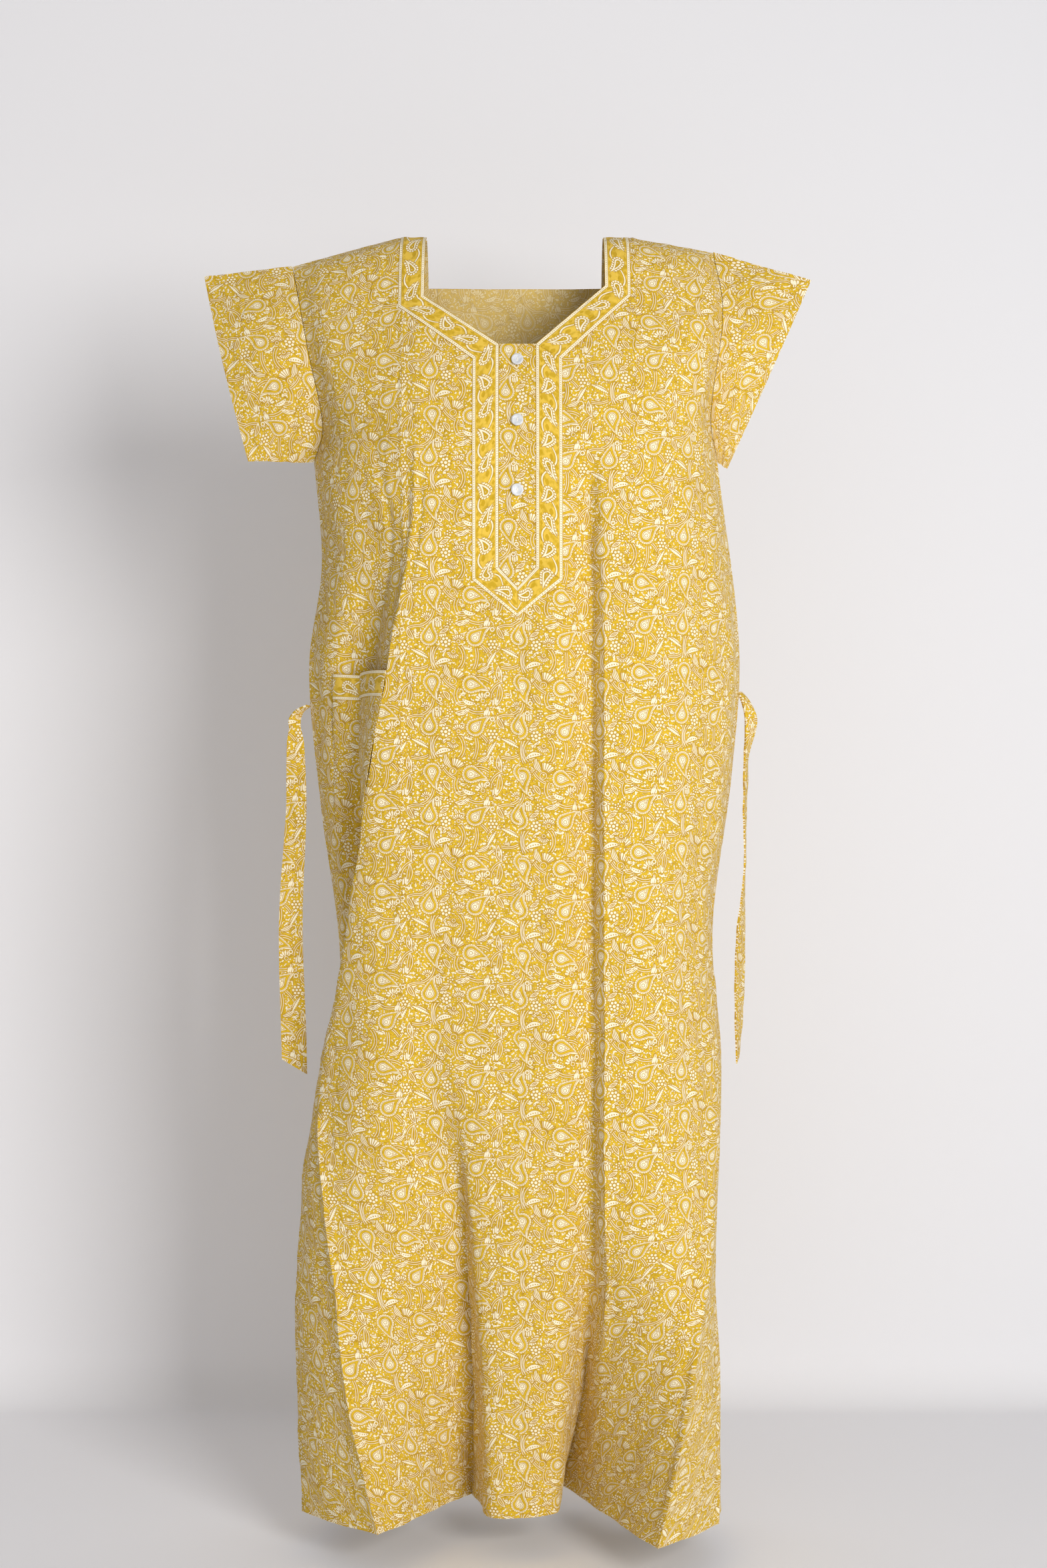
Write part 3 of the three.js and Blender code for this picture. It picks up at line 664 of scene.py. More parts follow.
def cloth_plane(tree):
    """The cloth's own coordinates, in millimetres, from its UV map in metres."""
    uv = tree.nodes.new("ShaderNodeUVMap")
    uv.uv_map = "cloth"
    scale = tree.nodes.new("ShaderNodeVectorMath")
    scale.operation = "SCALE"
    scale.inputs["Scale"].default_value = 1000.0
    tree.links.new(uv.outputs[0], scale.inputs[0])
    return Plane(tree, scale.outputs[0])


def use_group(tree, group, plane):
    node = tree.nodes.new("ShaderNodeGroup")
    node.node_tree = group
    tree.links.new(plane.socket, node.inputs["Cloth"])
    return node


def add_bump(tree, height, distance, strength, normal=None):
    bump = tree.nodes.new("ShaderNodeBump")
    bump.inputs["Strength"].default_value = strength
    bump.inputs["Distance"].default_value = distance
    tree.links.new(height.socket, bump.inputs["Height"])
    if normal:
        tree.links.new(normal, bump.inputs["Normal"])
    return bump.outputs[0]


def cloth_bump(tree, plane, shader):
    """Soft wearing creases, and over them a plain weave of 0.4 mm threads with slubs."""
    x, y = plane.xy()
    upright = plane_of(tree, x * 1.7, y)
    creases = abs(noise(tree, upright, 0.021, 1.5) - 0.5).low(0.05) * 20.0
    crumple = creases * 0.7 + noise(tree, upright, 0.07, 2.0)
    normal = add_bump(tree, crumple, 0.0011, 0.55)
    warp = (x * (2 * math.pi / 0.8)).sin()
    weft = (y * (2 * math.pi / 0.8)).sin()
    weave = warp * weft + noise(tree, plane, 1.2, 3.0) * 1.5
    normal = add_bump(tree, weave, 0.00012, 0.35, normal)
    tree.links.new(normal, shader.inputs["Normal"])


def ink_colour(tree, outside, plane, ground):
    """Cream inside the shapes, a brown line round them and the mustard ground beyond."""
    level = outside.times_plus(0.25, 0.5)  # 2 mm either side of the edge
    soft = 0.03
    patches = noise(tree, plane, 0.13, 2.0).times_plus(4.5, -2.1).low(0.85)
    shade = mix_colour(tree, patches, ground, MUSTARD_DEEP)
    brown = ramp(tree, abs(level - 0.5 - OUTLINE / 4), [(OUTLINE / 4, (1, 1, 1, 1)),
                                                        (OUTLINE / 4 + soft, (0, 0, 0, 1))])
    cream = ramp(tree, level, [(0.5 - soft / 2, (1, 1, 1, 1)), (0.5 + soft / 2, (0, 0, 0, 1))])
    base = mix_colour(tree, Value(tree, cream), shade, CREAM)
    fade = Value(tree, brown) * (noise(tree, plane, 0.3, 1.0) * 0.9 + 0.35).low(1.0)
    return mix_colour(tree, fade, base, BROWN)


def cloth_material(name, paint, washed=0.0):
    """A cotton material; `paint` makes its colour, and `washed` pales it as on the wrong side."""
    material, tree, shader = new_material(name)
    plane = cloth_plane(tree)
    colour = paint(tree, plane)
    if washed:
        colour = mix_colour(tree, washed, colour, srgb(240, 214, 146))
    tree.links.new(colour, shader.inputs["Base Color"])
    shader.inputs["Roughness"].default_value = 0.88
    shader.inputs["Specular IOR Level"].default_value = 0.15
    shader.inputs["Sheen Weight"].default_value = 0.05
    shader.inputs["Sheen Roughness"].default_value = 0.6
    cloth_bump(tree, plane, shader)
    return material


PRINT_GROUP = cotton_print_group()
BORDER_GROUP = border_print_group()
BLOCK_EDGE = 121.0  # the printing block's side joints lie this far from the middle


def paint_print(tree, plane):
    x, y = plane.xy()
    right = (x * -1.0).over(BLOCK_EDGE)
    left = x.over(BLOCK_EDGE)
    shifted = plane_of(tree, x, right.times_plus(29.0, y) - left * 17.0)
    outside = Value(tree, use_group(tree, PRINT_GROUP, shifted).outputs["Outside"])
    return ink_colour(tree, outside, plane, MUSTARD)


def paint_border(tree, plane):
    node = use_group(tree, BORDER_GROUP, plane)
    outside = Value(tree, node.outputs["Outside"])
    dark = Value(tree, node.outputs["Dark"])
    inside = (0.1 - dark).math("MULTIPLY", 4.0).high(0.0).low(1.0)
    ground = mix_colour(tree, inside, BAND_YELLOW, OCHRE)
    return ink_colour(tree, outside, plane, ground)


COTTON = cloth_material("cotton_print", paint_print)
COTTON_BACK = cloth_material("cotton_print_wrong_side", paint_print, washed=0.55)
BORDER_CLOTH = cloth_material("printed_border", paint_border)


# ---------------------------------------------------------------- cloth surfaces

def along(keys, at):
    """Smooth value of a list of (position, *values) at each position of an array."""
    keys = np.array(keys, float)
    if keys[0, 0] > keys[-1, 0]:
        keys = keys[::-1]
    at = np.clip(np.asarray(at, float), keys[0, 0], keys[-1, 0])
    i = np.clip(np.searchsorted(keys[:, 0], at, side="right") - 1, 0, len(keys) - 2)
    a, b = keys[i], keys[i + 1]
    before, after = keys[np.maximum(i - 1, 0)], keys[np.minimum(i + 2, len(keys) - 1)]
    span = (b - a)[..., :1]
    t = (at[..., None] - a[..., :1]) / span
    slope_a = (b - before) / (b - before)[..., :1] * span
    slope_b = (after - a) / (after - a)[..., :1] * span
    h = (2 * t - 3) * t * t
    value = a * (1 + h) - b * h + slope_a * t * (1 - t) ** 2 - slope_b * t * t * (1 - t)
    return value[..., 1:]


def through(knots, spots):
    """Centripetal curve through knots (rows, folds, 3), read at spots counted in folds."""
    first = 2 * knots[:, :1] - knots[:, 1:2]
    last = 2 * knots[:, -1:] - knots[:, -2:-1]
    padded = np.concatenate([first, knots, last], axis=1)
    i = np.clip(spots.astype(int), 0, knots.shape[1] - 2)
    t = (spots - i)[None, :, None]
    p0, p1, p2, p3 = (padded[:, i + k] for k in range(4))
    d0, d1, d2 = (np.sqrt(np.linalg.norm(q - p, axis=2, keepdims=True))
                  for p, q in ((p0, p1), (p1, p2), (p2, p3)))
    m1 = ((p1 - p0) / d0 - (p2 - p0) / (d0 + d1) + (p2 - p1) / d1) * d1
    m2 = ((p2 - p1) / d1 - (p3 - p1) / (d1 + d2) + (p3 - p2) / d2) * d1
    return p1 + m1 * t + (3 * (p2 - p1) - 2 * m1 - m2) * t * t + (2 * (p1 - p2) + m1 + m2) * t ** 3


def section_rows(folds, heights, spots):
    """Points at each height and spot of the folds; CRISP ones are drawn to the chords between folds."""
    columns = [along(fold, heights) for fold in folds]
    knots = np.stack([np.column_stack([c, heights]) for c in columns], axis=1)
    soft = through(knots, spots)
    if folds is not FRONT_FOLDS:
        return soft
    i = np.clip(spots.astype(int), 0, knots.shape[1] - 2)
    t = (spots - i)[None, :, None]
    straight = knots[:, i] * (1 - t) + knots[:, i + 1] * t
    crisp = np.zeros((len(heights), len(spots)))
    for fold, top, share in CRISP:
        near = np.clip(1.15 - np.abs(spots - fold), 0, 1) ** 1.5
        below = np.clip((top - heights) / 130, 0, 1)
        crisp = np.maximum(crisp, share * near[None, :] * below[:, None])
    return soft + (straight - soft) * crisp[..., None]


def shoulder_z(x):
    side = np.where(x < 0, "right", "left")
    reach = np.where(x < 0, abs(ARMHOLE["right"][0][1]), ARMHOLE["left"][0][1]) - SHOULDER_FLAT
    end = np.where(side == "right", SHOULDER_END_Z["right"], SHOULDER_END_Z["left"])
    return end * np.maximum(0, (np.abs(x) - SHOULDER_FLAT) / reach)


def yoke_points(underarm, share, front):
    """The underarm row carried up to a share of the way from the shoulder."""
    x, y = underarm[:, 0], underarm[:, 1]
    seam = np.where(x < 0, ARMHOLE["right"][-1][1], ARMHOLE["left"][-1][1])
    edge = np.where(x < 0, along(ARMHOLE["right"], share), along(ARMHOLE["left"], share))
    outward = np.maximum(0, (np.abs(x) - YOKE_FLAT) / (np.abs(seam) - YOKE_FLAT))
    new_x = x + (edge - seam) * outward
    bulge = ARMHOLE_BULGE * np.sin(np.pi * share) * outward ** 2
    new_y = y * along(YOKE_DEPTH, share) + (-bulge if front else bulge)
    return np.column_stack([new_x, new_y, shoulder_z(new_x) * (1 - share) + UNDERARM_Z * share])


def yoke_shares():
    """Shares from shoulder to underarm, closer together where the cloth turns over the shoulder."""
    t = np.linspace(0, 1, 64)[:-1]
    return 0.008 + (1 - 0.008) * t ** 1.6


BODY_HEIGHTS = np.linspace(UNDERARM_Z, HEM_Z, 270)


def panel_grid(folds, spots, front):
    underarm = section_rows(folds, np.array([UNDERARM_Z]), spots)[0]
    yoke = [yoke_points(underarm, np.array(share), front) for share in yoke_shares()]
    return np.concatenate([np.array(yoke), section_rows(folds, BODY_HEIGHTS, spots)])


def spots_for(folds, first, last, step=GRID_STEP):
    """Column positions between two folds, about one grid step apart."""
    middle = section_rows(folds, np.array([-700.0]), np.arange(len(folds), dtype=float))[0]
    spots = []
    for i in range(first, last):
        count = max(4, round(np.linalg.norm(middle[i + 1] - middle[i]) / step))
        spots += list(i + np.arange(count) / count)
    return np.array(spots + [float(last)])


def grid_normals(grid, outward):
    down = np.gradient(grid, axis=0)
    across = np.gradient(grid, axis=1)
    normal = np.cross(down, across)
    normal /= np.maximum(np.linalg.norm(normal, axis=2, keepdims=True), 1e-9)
    return normal * outward


def cloth_uv(grid, zero_column):
    """Distances across and down the cloth, from one column and the top row."""
    across = np.linalg.norm(np.diff(grid, axis=1), axis=2)
    u = np.concatenate([np.zeros((len(grid), 1)), np.cumsum(across, axis=1)], axis=1)
    u -= u[:, zero_column:zero_column + 1]
    down = np.linalg.norm(np.diff(grid, axis=0), axis=2).mean(axis=1)
    v = -np.concatenate([[0], np.cumsum(down)])
    return np.stack([u, np.repeat(v[:, None], grid.shape[1], axis=1)], axis=2)


def ripple(uv, seed, wavelengths, height):
    """Gentle unevenness: a few long waves in seeded directions."""
    rng = np.random.default_rng(seed)
    total = np.zeros(uv.shape[:2])
    for length in wavelengths:
        turn, phase = rng.uniform(0, 2 * np.pi, 2)
        wave = uv[..., 0] * np.cos(turn) + uv[..., 1] * np.sin(turn)
        total += np.sin(2 * np.pi * wave / length + phase)
    return total * height / math.sqrt(len(wavelengths))


def crease(position, at, width):
    return np.exp(-((position - at) / width) ** 2)


def grid_mesh(name, grid, uv, closed=False):
    """A one-layer mesh of a grid of points in millimetres, with its cloth map."""
    rows, columns = grid.shape[:2]
    spans = columns if closed else columns - 1
    r, c = np.meshgrid(np.arange(rows - 1), np.arange(spans), indexing="ij")
    right = (c + 1) % columns
    faces = np.stack([r * columns + c, (r + 1) * columns + c, (r + 1) * columns + right,
                      r * columns + right], axis=2).reshape(-1, 4)
    mesh = bpy.data.meshes.new(name)
    mesh.from_pydata((grid.reshape(-1, 3) * MM).tolist(), [], faces.tolist())
    layer = mesh.uv_layers.new(name="cloth")
    layer.data.foreach_set("uv", (uv.reshape(-1, 2) * MM)[faces.reshape(-1)].ravel())
    return mesh


def place(name, mesh):
    thing = bpy.data.objects.new(name, mesh)
    bpy.context.scene.collection.objects.link(thing)
    return thing


def apply_modifiers(thing):
    bpy.context.view_layer.update()
    graph = bpy.context.evaluated_depsgraph_get()
    done = bpy.data.meshes.new_from_object(thing.evaluated_get(graph))
    thing.modifiers.clear()
    thing.data = done
    for face in done.polygons:
        face.use_smooth = True
    done.set_sharp_from_angle(angle=SHARP_ANGLE)


def thicken(thing, thickness, outer, inner, offset=0.0):
    """Gives one-layer cloth its two faces and closed edges."""
    thing.data.materials.append(outer)
    thing.data.materials.append(inner)
    solid = thing.modifiers.new("solid", "SOLIDIFY")
    solid.thickness = thickness * MM
    solid.offset = offset
    solid.material_offset = 1
    solid.use_even_offset = False
    apply_modifiers(thing)


def wear(thing, body, node):
    """Says what a piece rides on, unless it is blended, which node it replaces."""
    if body:
        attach(thing, body)
    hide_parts(node)


def cloth_piece(name, mesh, thickness, outer, inner, body, node):
    """A finished cloth piece from a one-layer mesh."""
    piece = place(name, mesh)
    thicken(piece, thickness, outer, inner)
    wear(piece, body, node)
    return piece


# ---------------------------------------------------------------- the panels

def neckline_z(x, side_heights):
    """Height of the neckline over a point; above it the cloth is cut away."""
    xs = [point[0] for point in side_heights]
    zs = [point[1] for point in side_heights]
    return np.interp(x, xs, zs, left=1e3, right=1e3)


FRONT_NECK = [(-NECK_HALF, NECK_CORNER_Z["right"]), (PLACKET_X - PLACKET_HALF, NECK_BOTTOM_Z),
              (PLACKET_X + PLACKET_HALF, NECK_BOTTOM_Z), (NECK_HALF, NECK_CORNER_Z["left"])]
BACK_NECK = [(-NECK_HALF, BACK_NECK_Z), (NECK_HALF, BACK_NECK_Z)]


def cut_along(bm, start, end, reach):
    """Splits the faces near a line of the front view."""
    (x1, z1), (x2, z2) = start, end
    low_x, high_x = min(x1, x2) - reach, max(x1, x2) + reach
    low_z, high_z = min(z1, z2) - reach, max(z1, z2) + reach
    near = [f for f in bm.faces
            if low_x * MM < f.calc_center_median().x < high_x * MM
            and low_z * MM < f.calc_center_median().z < high_z * MM]
    parts = set(near)
    for face in near:
        parts.update(face.edges)
        parts.update(face.verts)
    normal = Vector((z2 - z1, 0, x1 - x2)).normalized()
    bmesh.ops.bisect_plane(bm, geom=list(parts), dist=1e-6, plane_co=Vector((x1, 0, z1)) * MM,
                           plane_no=normal)


def cut_neck(mesh, outline, slit):
    bm = bmesh.new()
    bm.from_mesh(mesh)
    ends = [(outline[0][0], 60), *outline, (outline[-1][0], 60)]
    for start, end in zip(ends, ends[1:]):
        cut_along(bm, start, end, 5)
    if slit:
        for x in (PLACKET_X - SLIT_HALF, PLACKET_X + SLIT_HALF):
            cut_along(bm, (x, NECK_BOTTOM_Z + 8), (x, SLIT_END_Z - 4), 5)
    doomed = []
    for face in bm.faces:
        middle = face.calc_center_median() / MM
        in_slit = slit and abs(middle.x - PLACKET_X) < SLIT_HALF and middle.z > SLIT_END_Z
        if middle.z > neckline_z(middle.x, outline) or in_slit:
            doomed.append(face)
    bmesh.ops.delete(bm, geom=doomed, context="FACES")
    bm.to_mesh(mesh)
    bm.free()


def rumples(uv, seed, count, height):
    """Small seeded creases, mostly upright, as worn cotton shows."""
    rng = np.random.default_rng(seed)
    low, high = uv.reshape(-1, 2).min(0), uv.reshape(-1, 2).max(0)
    total = np.zeros(uv.shape[:2])
    for _ in range(count):
        at = rng.uniform(low, high)
        turn = rng.normal(0, 0.45)
        long, wide = rng.uniform(16, 55), rng.uniform(3.2, 5.5)
        x, y = uv[..., 0] - at[0], uv[..., 1] - at[1]
        across = x * np.cos(turn) + y * np.sin(turn)
        up = y * np.cos(turn) - x * np.sin(turn)
        total += rng.uniform(-1, 1) * np.exp(-(across / wide) ** 2 - (up / long) ** 2)
    return total * height


def pressed_folds(grid, uv, spots):
    """The crisp creases of PRESSED, over the columns that this panel holds."""
    total = np.zeros(uv.shape[:2])
    z = grid[..., 2]
    for fold, shift, top, bottom, height, width in PRESSED:
        if spots[0] <= fold <= spots[-1]:
            middle = uv[:, np.abs(spots - fold).argmin(), 0][:, None] + shift
            ends = np.clip((top - z) / 60, 0, 1) * np.clip((z - bottom) / 60, 0, 1)
            total += height * crease(uv[..., 0], middle, width) * ends
    return total


def front_relief(uv):
    """Small unevenness of the front: soft waves, pressed creases, the centre seam and the hem."""
    u, v = uv[..., 0], uv[..., 1]
    down = v[:, :1] - v[0, 0]
    hang = np.clip((-down - 120) / 200, 0, 1)
    relief = ripple(uv, 3, (58, 83, 110, 47, 150), 0.9) * hang
    relief += ripple(uv, 5, (23, 31, 19, 27), 0.22) + ripple(uv, 6, (12, 15, 10, 13), 0.09)
    for at in CROSS_CREASES:
        relief += 0.7 * crease(v, at + 3 * np.sin(u / 40), 2.6) * hang
    for at in (-BLOCK_EDGE, BLOCK_EDGE):
        relief += 0.8 * crease(u, at, 2.4)
    relief += 0.25 * ripple(uv, 9, (9, 11, 14), 1.0) * crease(u, 0, 9) * (v < -440)
    hem_top = v[-1, 0] + HEM_TURN
    relief -= 0.5 * crease(v, hem_top, 1.3)
    relief += 0.3 * ripple(uv, 12, (8, 10, 13), 1.0) * crease(v, hem_top, 7)
    return relief


def seam_fade(uv, sides, reach=6.0):
    """0 at the side seams, where front and back meet, and 1 away from them."""
    u = uv[..., 0]
    fade = np.ones_like(u)
    if "low" in sides:
        fade *= np.clip((u - u[:, :1]) / reach, 0, 1)
    if "high" in sides:
        fade *= np.clip((u[:, -1:] - u) / reach, 0, 1)
    return fade


def front_surface(first, last, zero):
    spots = spots_for(FRONT_FOLDS, first, last)
    grid = panel_grid(FRONT_FOLDS, spots, True)
    uv = cloth_uv(grid, 0 if zero == "first" else len(spots) - 1)
    side = "low" if zero == "last" else "high"
    relief = front_relief(uv) + rumples(uv, 51 if zero == "last" else 52, 90, 0.9)
    relief *= seam_fade(uv, ("low", "high"))
    relief += pressed_folds(grid, uv, spots) * seam_fade(uv, side)
    return grid + grid_normals(grid, 1) * relief[..., None], uv


def build_front():
    """The two front panels, joined at the centre-front seam. Gives back their uncut one-layer meshes."""
    layers = []
    for side, first, last, zero in (("right", 0, CENTRE_FOLD, "last"),
                                    ("left", CENTRE_FOLD, len(FRONT_FOLDS) - 1, "first")):
        grid, uv = front_surface(first, last, zero)
        mesh = grid_mesh(f"front_{side}", grid, uv)
        layers.append(mesh.copy())
        cut_neck(mesh, FRONT_NECK, True)
        cloth_piece(f"front_{side}_cloth", mesh, CLOTH, COTTON, COTTON_BACK, "gown_body",
                    f"front_{side}_panel")
    return layers


def build_back():
    spots = spots_for(BACK_FOLDS, 0, len(BACK_FOLDS) - 1, BACK_GRID_STEP)
    grid = panel_grid(BACK_FOLDS, spots, False)
    uv = cloth_uv(grid, len(spots) // 2)
    relief = ripple(uv, 21, (60, 90, 130, 75), 1.2) + ripple(uv, 22, (21, 29, 25), 0.16)
    for at in CROSS_CREASES:
        relief += 0.7 * crease(uv[..., 1], at, 2.6)
    relief -= 0.5 * crease(uv[..., 1], uv[-1, 0, 1] + HEM_TURN, 1.3)
    relief = (relief + rumples(uv, 53, 150, 0.9)) * seam_fade(uv, ("low", "high"))
    grid = grid + grid_normals(grid, 1) * relief[..., None]
    mesh = grid_mesh("back", grid, uv)
    layer = mesh.copy()
    cut_neck(mesh, BACK_NECK, False)
    cloth_piece("back_cloth", mesh, CLOTH, COTTON, COTTON_BACK, "gown_body", "back_panel")
    return layer


# ---------------------------------------------------------------- sleeves

def sleeve_grid(side):
    sign = -1 if side == "right" else 1
    top, bottom = np.array(SLEEVE[side]["top"]), np.array(SLEEVE[side]["bottom"])
    seam = np.array([[ARMHOLE[side][-1][1], 0.0, UNDERARM_Z]])
    front = 0.004 + 0.996 * np.linspace(0, 1, 52) ** 1.4
    ring = [(s, True) for s in front] + [(s, False) for s in front[-2::-1]]
    lengthways = np.linspace(0, 1, 34)
    grid = np.zeros((len(lengthways), len(ring), 3))
    for j, (share, facing) in enumerate(ring):
        root = yoke_points(seam, np.array(share), facing)[0]
        root[0] += sign * SLEEVE_GAP * 0.4
        depth = SLEEVE_HALF_DEPTH * math.sin(math.pi * share) * (-1 if facing else 1)
        x, z = top + (bottom - top) * share
        mouth = np.array([x, depth, z])
        bow = np.sin(np.pi * lengthways) * 7 * math.sin(math.pi * share)
        grid[:, j] = root + (mouth - root) * lengthways[:, None]
        grid[:, j, 1] += bow * (-1 if facing else 1)
    return grid[:, ::-1] if sign > 0 else grid


def build_sleeve(side):
    grid = sleeve_grid(side)
    around = np.concatenate([grid, grid[:, :1]], axis=1)
    step = np.linalg.norm(np.diff(around, axis=1), axis=2)
    u = np.concatenate([np.zeros((len(grid), 1)), np.cumsum(step, axis=1)[:, :-1]], axis=1)
    out = np.linalg.norm(np.diff(grid, axis=0), axis=2).mean(axis=1)
    v = np.repeat(np.concatenate([[0], np.cumsum(out)])[:, None], grid.shape[1], axis=1)
    uv = np.stack([v, -u], axis=2)
    normals = grid_normals(grid, 1)
    fade = np.sin(np.pi * np.linspace(0, 1, len(grid)))[:, None]
    relief = (ripple(uv, 31, (34, 48, 61), 0.8) + rumples(uv, 54, 24, 1.1)) * fade
    relief -= 0.5 * crease(v, v[-1:, :] - SLEEVE_HEM, 1.4)
    grid = grid + normals * relief[..., None]
    mesh = grid_mesh(f"sleeve_{side}", grid, uv, closed=True)
    sleeve = cloth_piece(f"sleeve_{side}_cloth", mesh, CLOTH, COTTON, COTTON_BACK, None,
                         f"sleeve_{side}")
    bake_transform(sleeve)


# ---------------------------------------------------------------- trims laid on the chest

class Chest:
    """Finds the cloth's surface behind any point of the front or back view."""

    def __init__(self, layers, direction):
        verts, faces = [], []
        for mesh in layers:
            base = len(verts)
            verts += [v.co.copy() for v in mesh.vertices]
            faces += [[base + i for i in f.vertices] for f in mesh.polygons]
        self.tree = BVHTree.FromPolygons(verts, faces)
        self.direction = direction

    def lay(self, x, z, lift):
        start = Vector((x * MM, -self.direction * 1.0, z * MM))
        spot, normal, _, _ = self.tree.ray_cast(start, Vector((0, self.direction, 0)))
        if spot is None:
            spot, normal, _, _ = self.tree.find_nearest(Vector((x * MM, 0, z * MM)))
        if normal.y * self.direction > 0:
            normal = -normal
        return np.array(spot) / MM + np.array(normal) * lift


def strip_points(inner, outer, step):
    """Cuts a strip between two matching paths into rows about one step long."""
    inner, outer = np.array(inner, float), np.array(outer, float)
    middle = (inner + outer) / 2
    lengths = np.linalg.norm(np.diff(middle, axis=0), axis=1)
    rows_in, rows_out, run = [], [], []
    travelled = 0.0
    for i, length in enumerate(lengths):
        count = max(2, round(length / step))
        for k in range(count):
            t = k / count
            rows_in.append(inner[i] + (inner[i + 1] - inner[i]) * t)
            rows_out.append(outer[i] + (outer[i + 1] - outer[i]) * t)
            run.append(travelled + length * t)
        travelled += length
    return (np.array(rows_in + [inner[-1]]), np.array(rows_out + [outer[-1]]),
            np.array(run + [travelled]))


def border_strip(name, chest, inner, outer, node, start_run=0.0, heading=-1):
    """A printed border laid on the chest between two paths, pillowed a little between its edges.

    The print starts `start_run` along its repeat and runs up or down the strip by `heading`. Gives back
    the strip's length."""
    rows_in, rows_out, run = strip_points(inner, outer, GRID_STEP)
    cross = np.linspace(0, 1, 15)
    grid = np.zeros((len(run), len(cross), 3))
    uv = np.zeros((len(run), len(cross), 2))
    for r in range(len(run)):
        for c, t in enumerate(cross):
            x, z = rows_in[r] + (rows_out[r] - rows_in[r]) * t
            puff = BORDER_LIFT + 0.2 * (1 - (2 * t - 1) ** 6) + 0.1 * math.sin(run[r] / 3.1 + 9 * t)
            grid[r, c] = chest.lay(x, z, puff)
            uv[r, c] = ((t - 0.5) * BORDER, heading * (run[r] + start_run))
    cloth_piece(name, grid_mesh(name, grid, uv), TRIM, BORDER_CLOTH, BORDER_CLOTH, "gown_body", node)
    return run[-1]


def build_borders(front, back):
    for side, sign in (("right", -1), ("left", 1)):
        corner = NECK_CORNER_Z[side]
        inner_x = PLACKET_X + sign * PLACKET_HALF
        outer_x = PLACKET_X + sign * BORDER_HALF
        drop = BORDER * 0.42
        meet_z = NECK_BOTTOM_Z - BORDER * 0.6
        run = border_strip(
            f"neck_border_{side}_strip", front,
            [(sign * NECK_HALF, -0.6), (sign * NECK_HALF, corner), (inner_x, NECK_BOTTOM_Z)],
            [(sign * (NECK_HALF + BORDER), -0.6), (sign * (NECK_HALF + BORDER), corner - drop),
             (outer_x, meet_z)], f"neck_border_{side}", heading=sign)
        more = border_strip(
            f"placket_border_{side}_strip", front,
            [(inner_x, NECK_BOTTOM_Z - 0.3), (inner_x, PLACKET_END_Z)],
            [(outer_x, meet_z - 0.3), (outer_x, BORDER_END_Z)],
            f"placket_border_{side}", run, sign)
        middle = PLACKET_X + sign * 0.15
        border_strip(
            f"placket_point_{side}_strip", front,
            [(inner_x, PLACKET_END_Z - 0.3), (middle, PLACKET_POINT_Z)],
            [(outer_x, BORDER_END_Z - 0.3), (middle, BORDER_POINT_Z)],
            f"placket_point_{side}", run + more, sign)
    outside = NECK_HALF + BORDER
    low = BACK_NECK_Z - BORDER
    border_strip(
        "back_neck_border_strip", back,
        [(-NECK_HALF, -0.6), (-NECK_HALF, BACK_NECK_Z), (NECK_HALF, BACK_NECK_Z), (NECK_HALF, -0.6)],
        [(-outside, -0.6), (-outside, low), (outside, low), (outside, -0.6)], "back_neck_border")


def band_outline_rows(half, top, end, point):
    """Rows of the button band, running into its point at the foot."""
    rows = [(z, -half, half) for z in np.arange(top, end, -3.0)]
    for t in np.linspace(0, 1, 9):
        width = half * (1 - t) + 0.4 * t
        rows.append((end + (point - end) * t, -width, width))
    return rows


def build_band(name, chest, node, lift):
    rows = band_outline_rows(PLACKET_HALF - 0.3, NECK_BOTTOM_Z, PLACKET_END_Z, PLACKET_POINT_Z + 0.6)
    cross = np.linspace(0, 1, 17)
    grid = np.zeros((len(rows), len(cross), 3))
    uv = np.zeros((len(rows), len(cross), 2))
    for r, (z, low, high) in enumerate(rows):
        for c, t in enumerate(cross):
            x = PLACKET_X + low + (high - low) * t
            rise = lift + (0.2 * (1 - (2 * t - 1) ** 8) if lift > 0 else 0)
            grid[r, c] = chest.lay(x, z, rise)
            uv[r, c] = (x + 9, z)
    cloth_piece(name, grid_mesh(name, grid, uv), TRIM, COTTON, COTTON, "gown_body", node)


# ---------------------------------------------------------------- pocket

def pocket_surface(top, bottom, lift):
    spots = np.linspace(1, 3, 44)
    heights = np.linspace(top, bottom, max(6, round((top - bottom) / 4)))
    grid = section_rows(FRONT_FOLDS, heights, spots)
    normals = grid_normals(grid, 1)
    across = np.sin(np.pi * (spots - 1) / 2)
    open_share = (heights - POCKET_BOTTOM_Z) / (POCKET_TOP_Z - POCKET_BOTTOM_Z)
    stand = POCKET_STAND * np.sin(np.pi * np.minimum(open_share, 0.5))
    rise = lift + stand[:, None] * across[None, :]
    grid = grid + normals * rise[..., None]
    return grid, cloth_uv(grid, 22)


def build_pocket():
    grid, uv = pocket_surface(POCKET_TOP_Z, POCKET_BOTTOM_Z, 1.3)
    uv[..., 1] += POCKET_TOP_Z - 13
    uv[..., 0] -= 133
    cloth_piece("pocket_cloth", grid_mesh("pocket", grid, uv), CLOTH, COTTON, COTTON_BACK,
                "gown_body", "pocket")
    grid, uv = pocket_surface(POCKET_TOP_Z, POCKET_TOP_Z - BORDER, 2.1)
    uv = np.stack([uv[..., 1] + BORDER / 2, uv[..., 0]], axis=2)
    cloth_piece("pocket_border_strip", grid_mesh("pocket_border", grid, uv), TRIM, BORDER_CLOTH,
                BORDER_CLOTH, "gown_body", "pocket_border")


# ---------------------------------------------------------------- waist ties

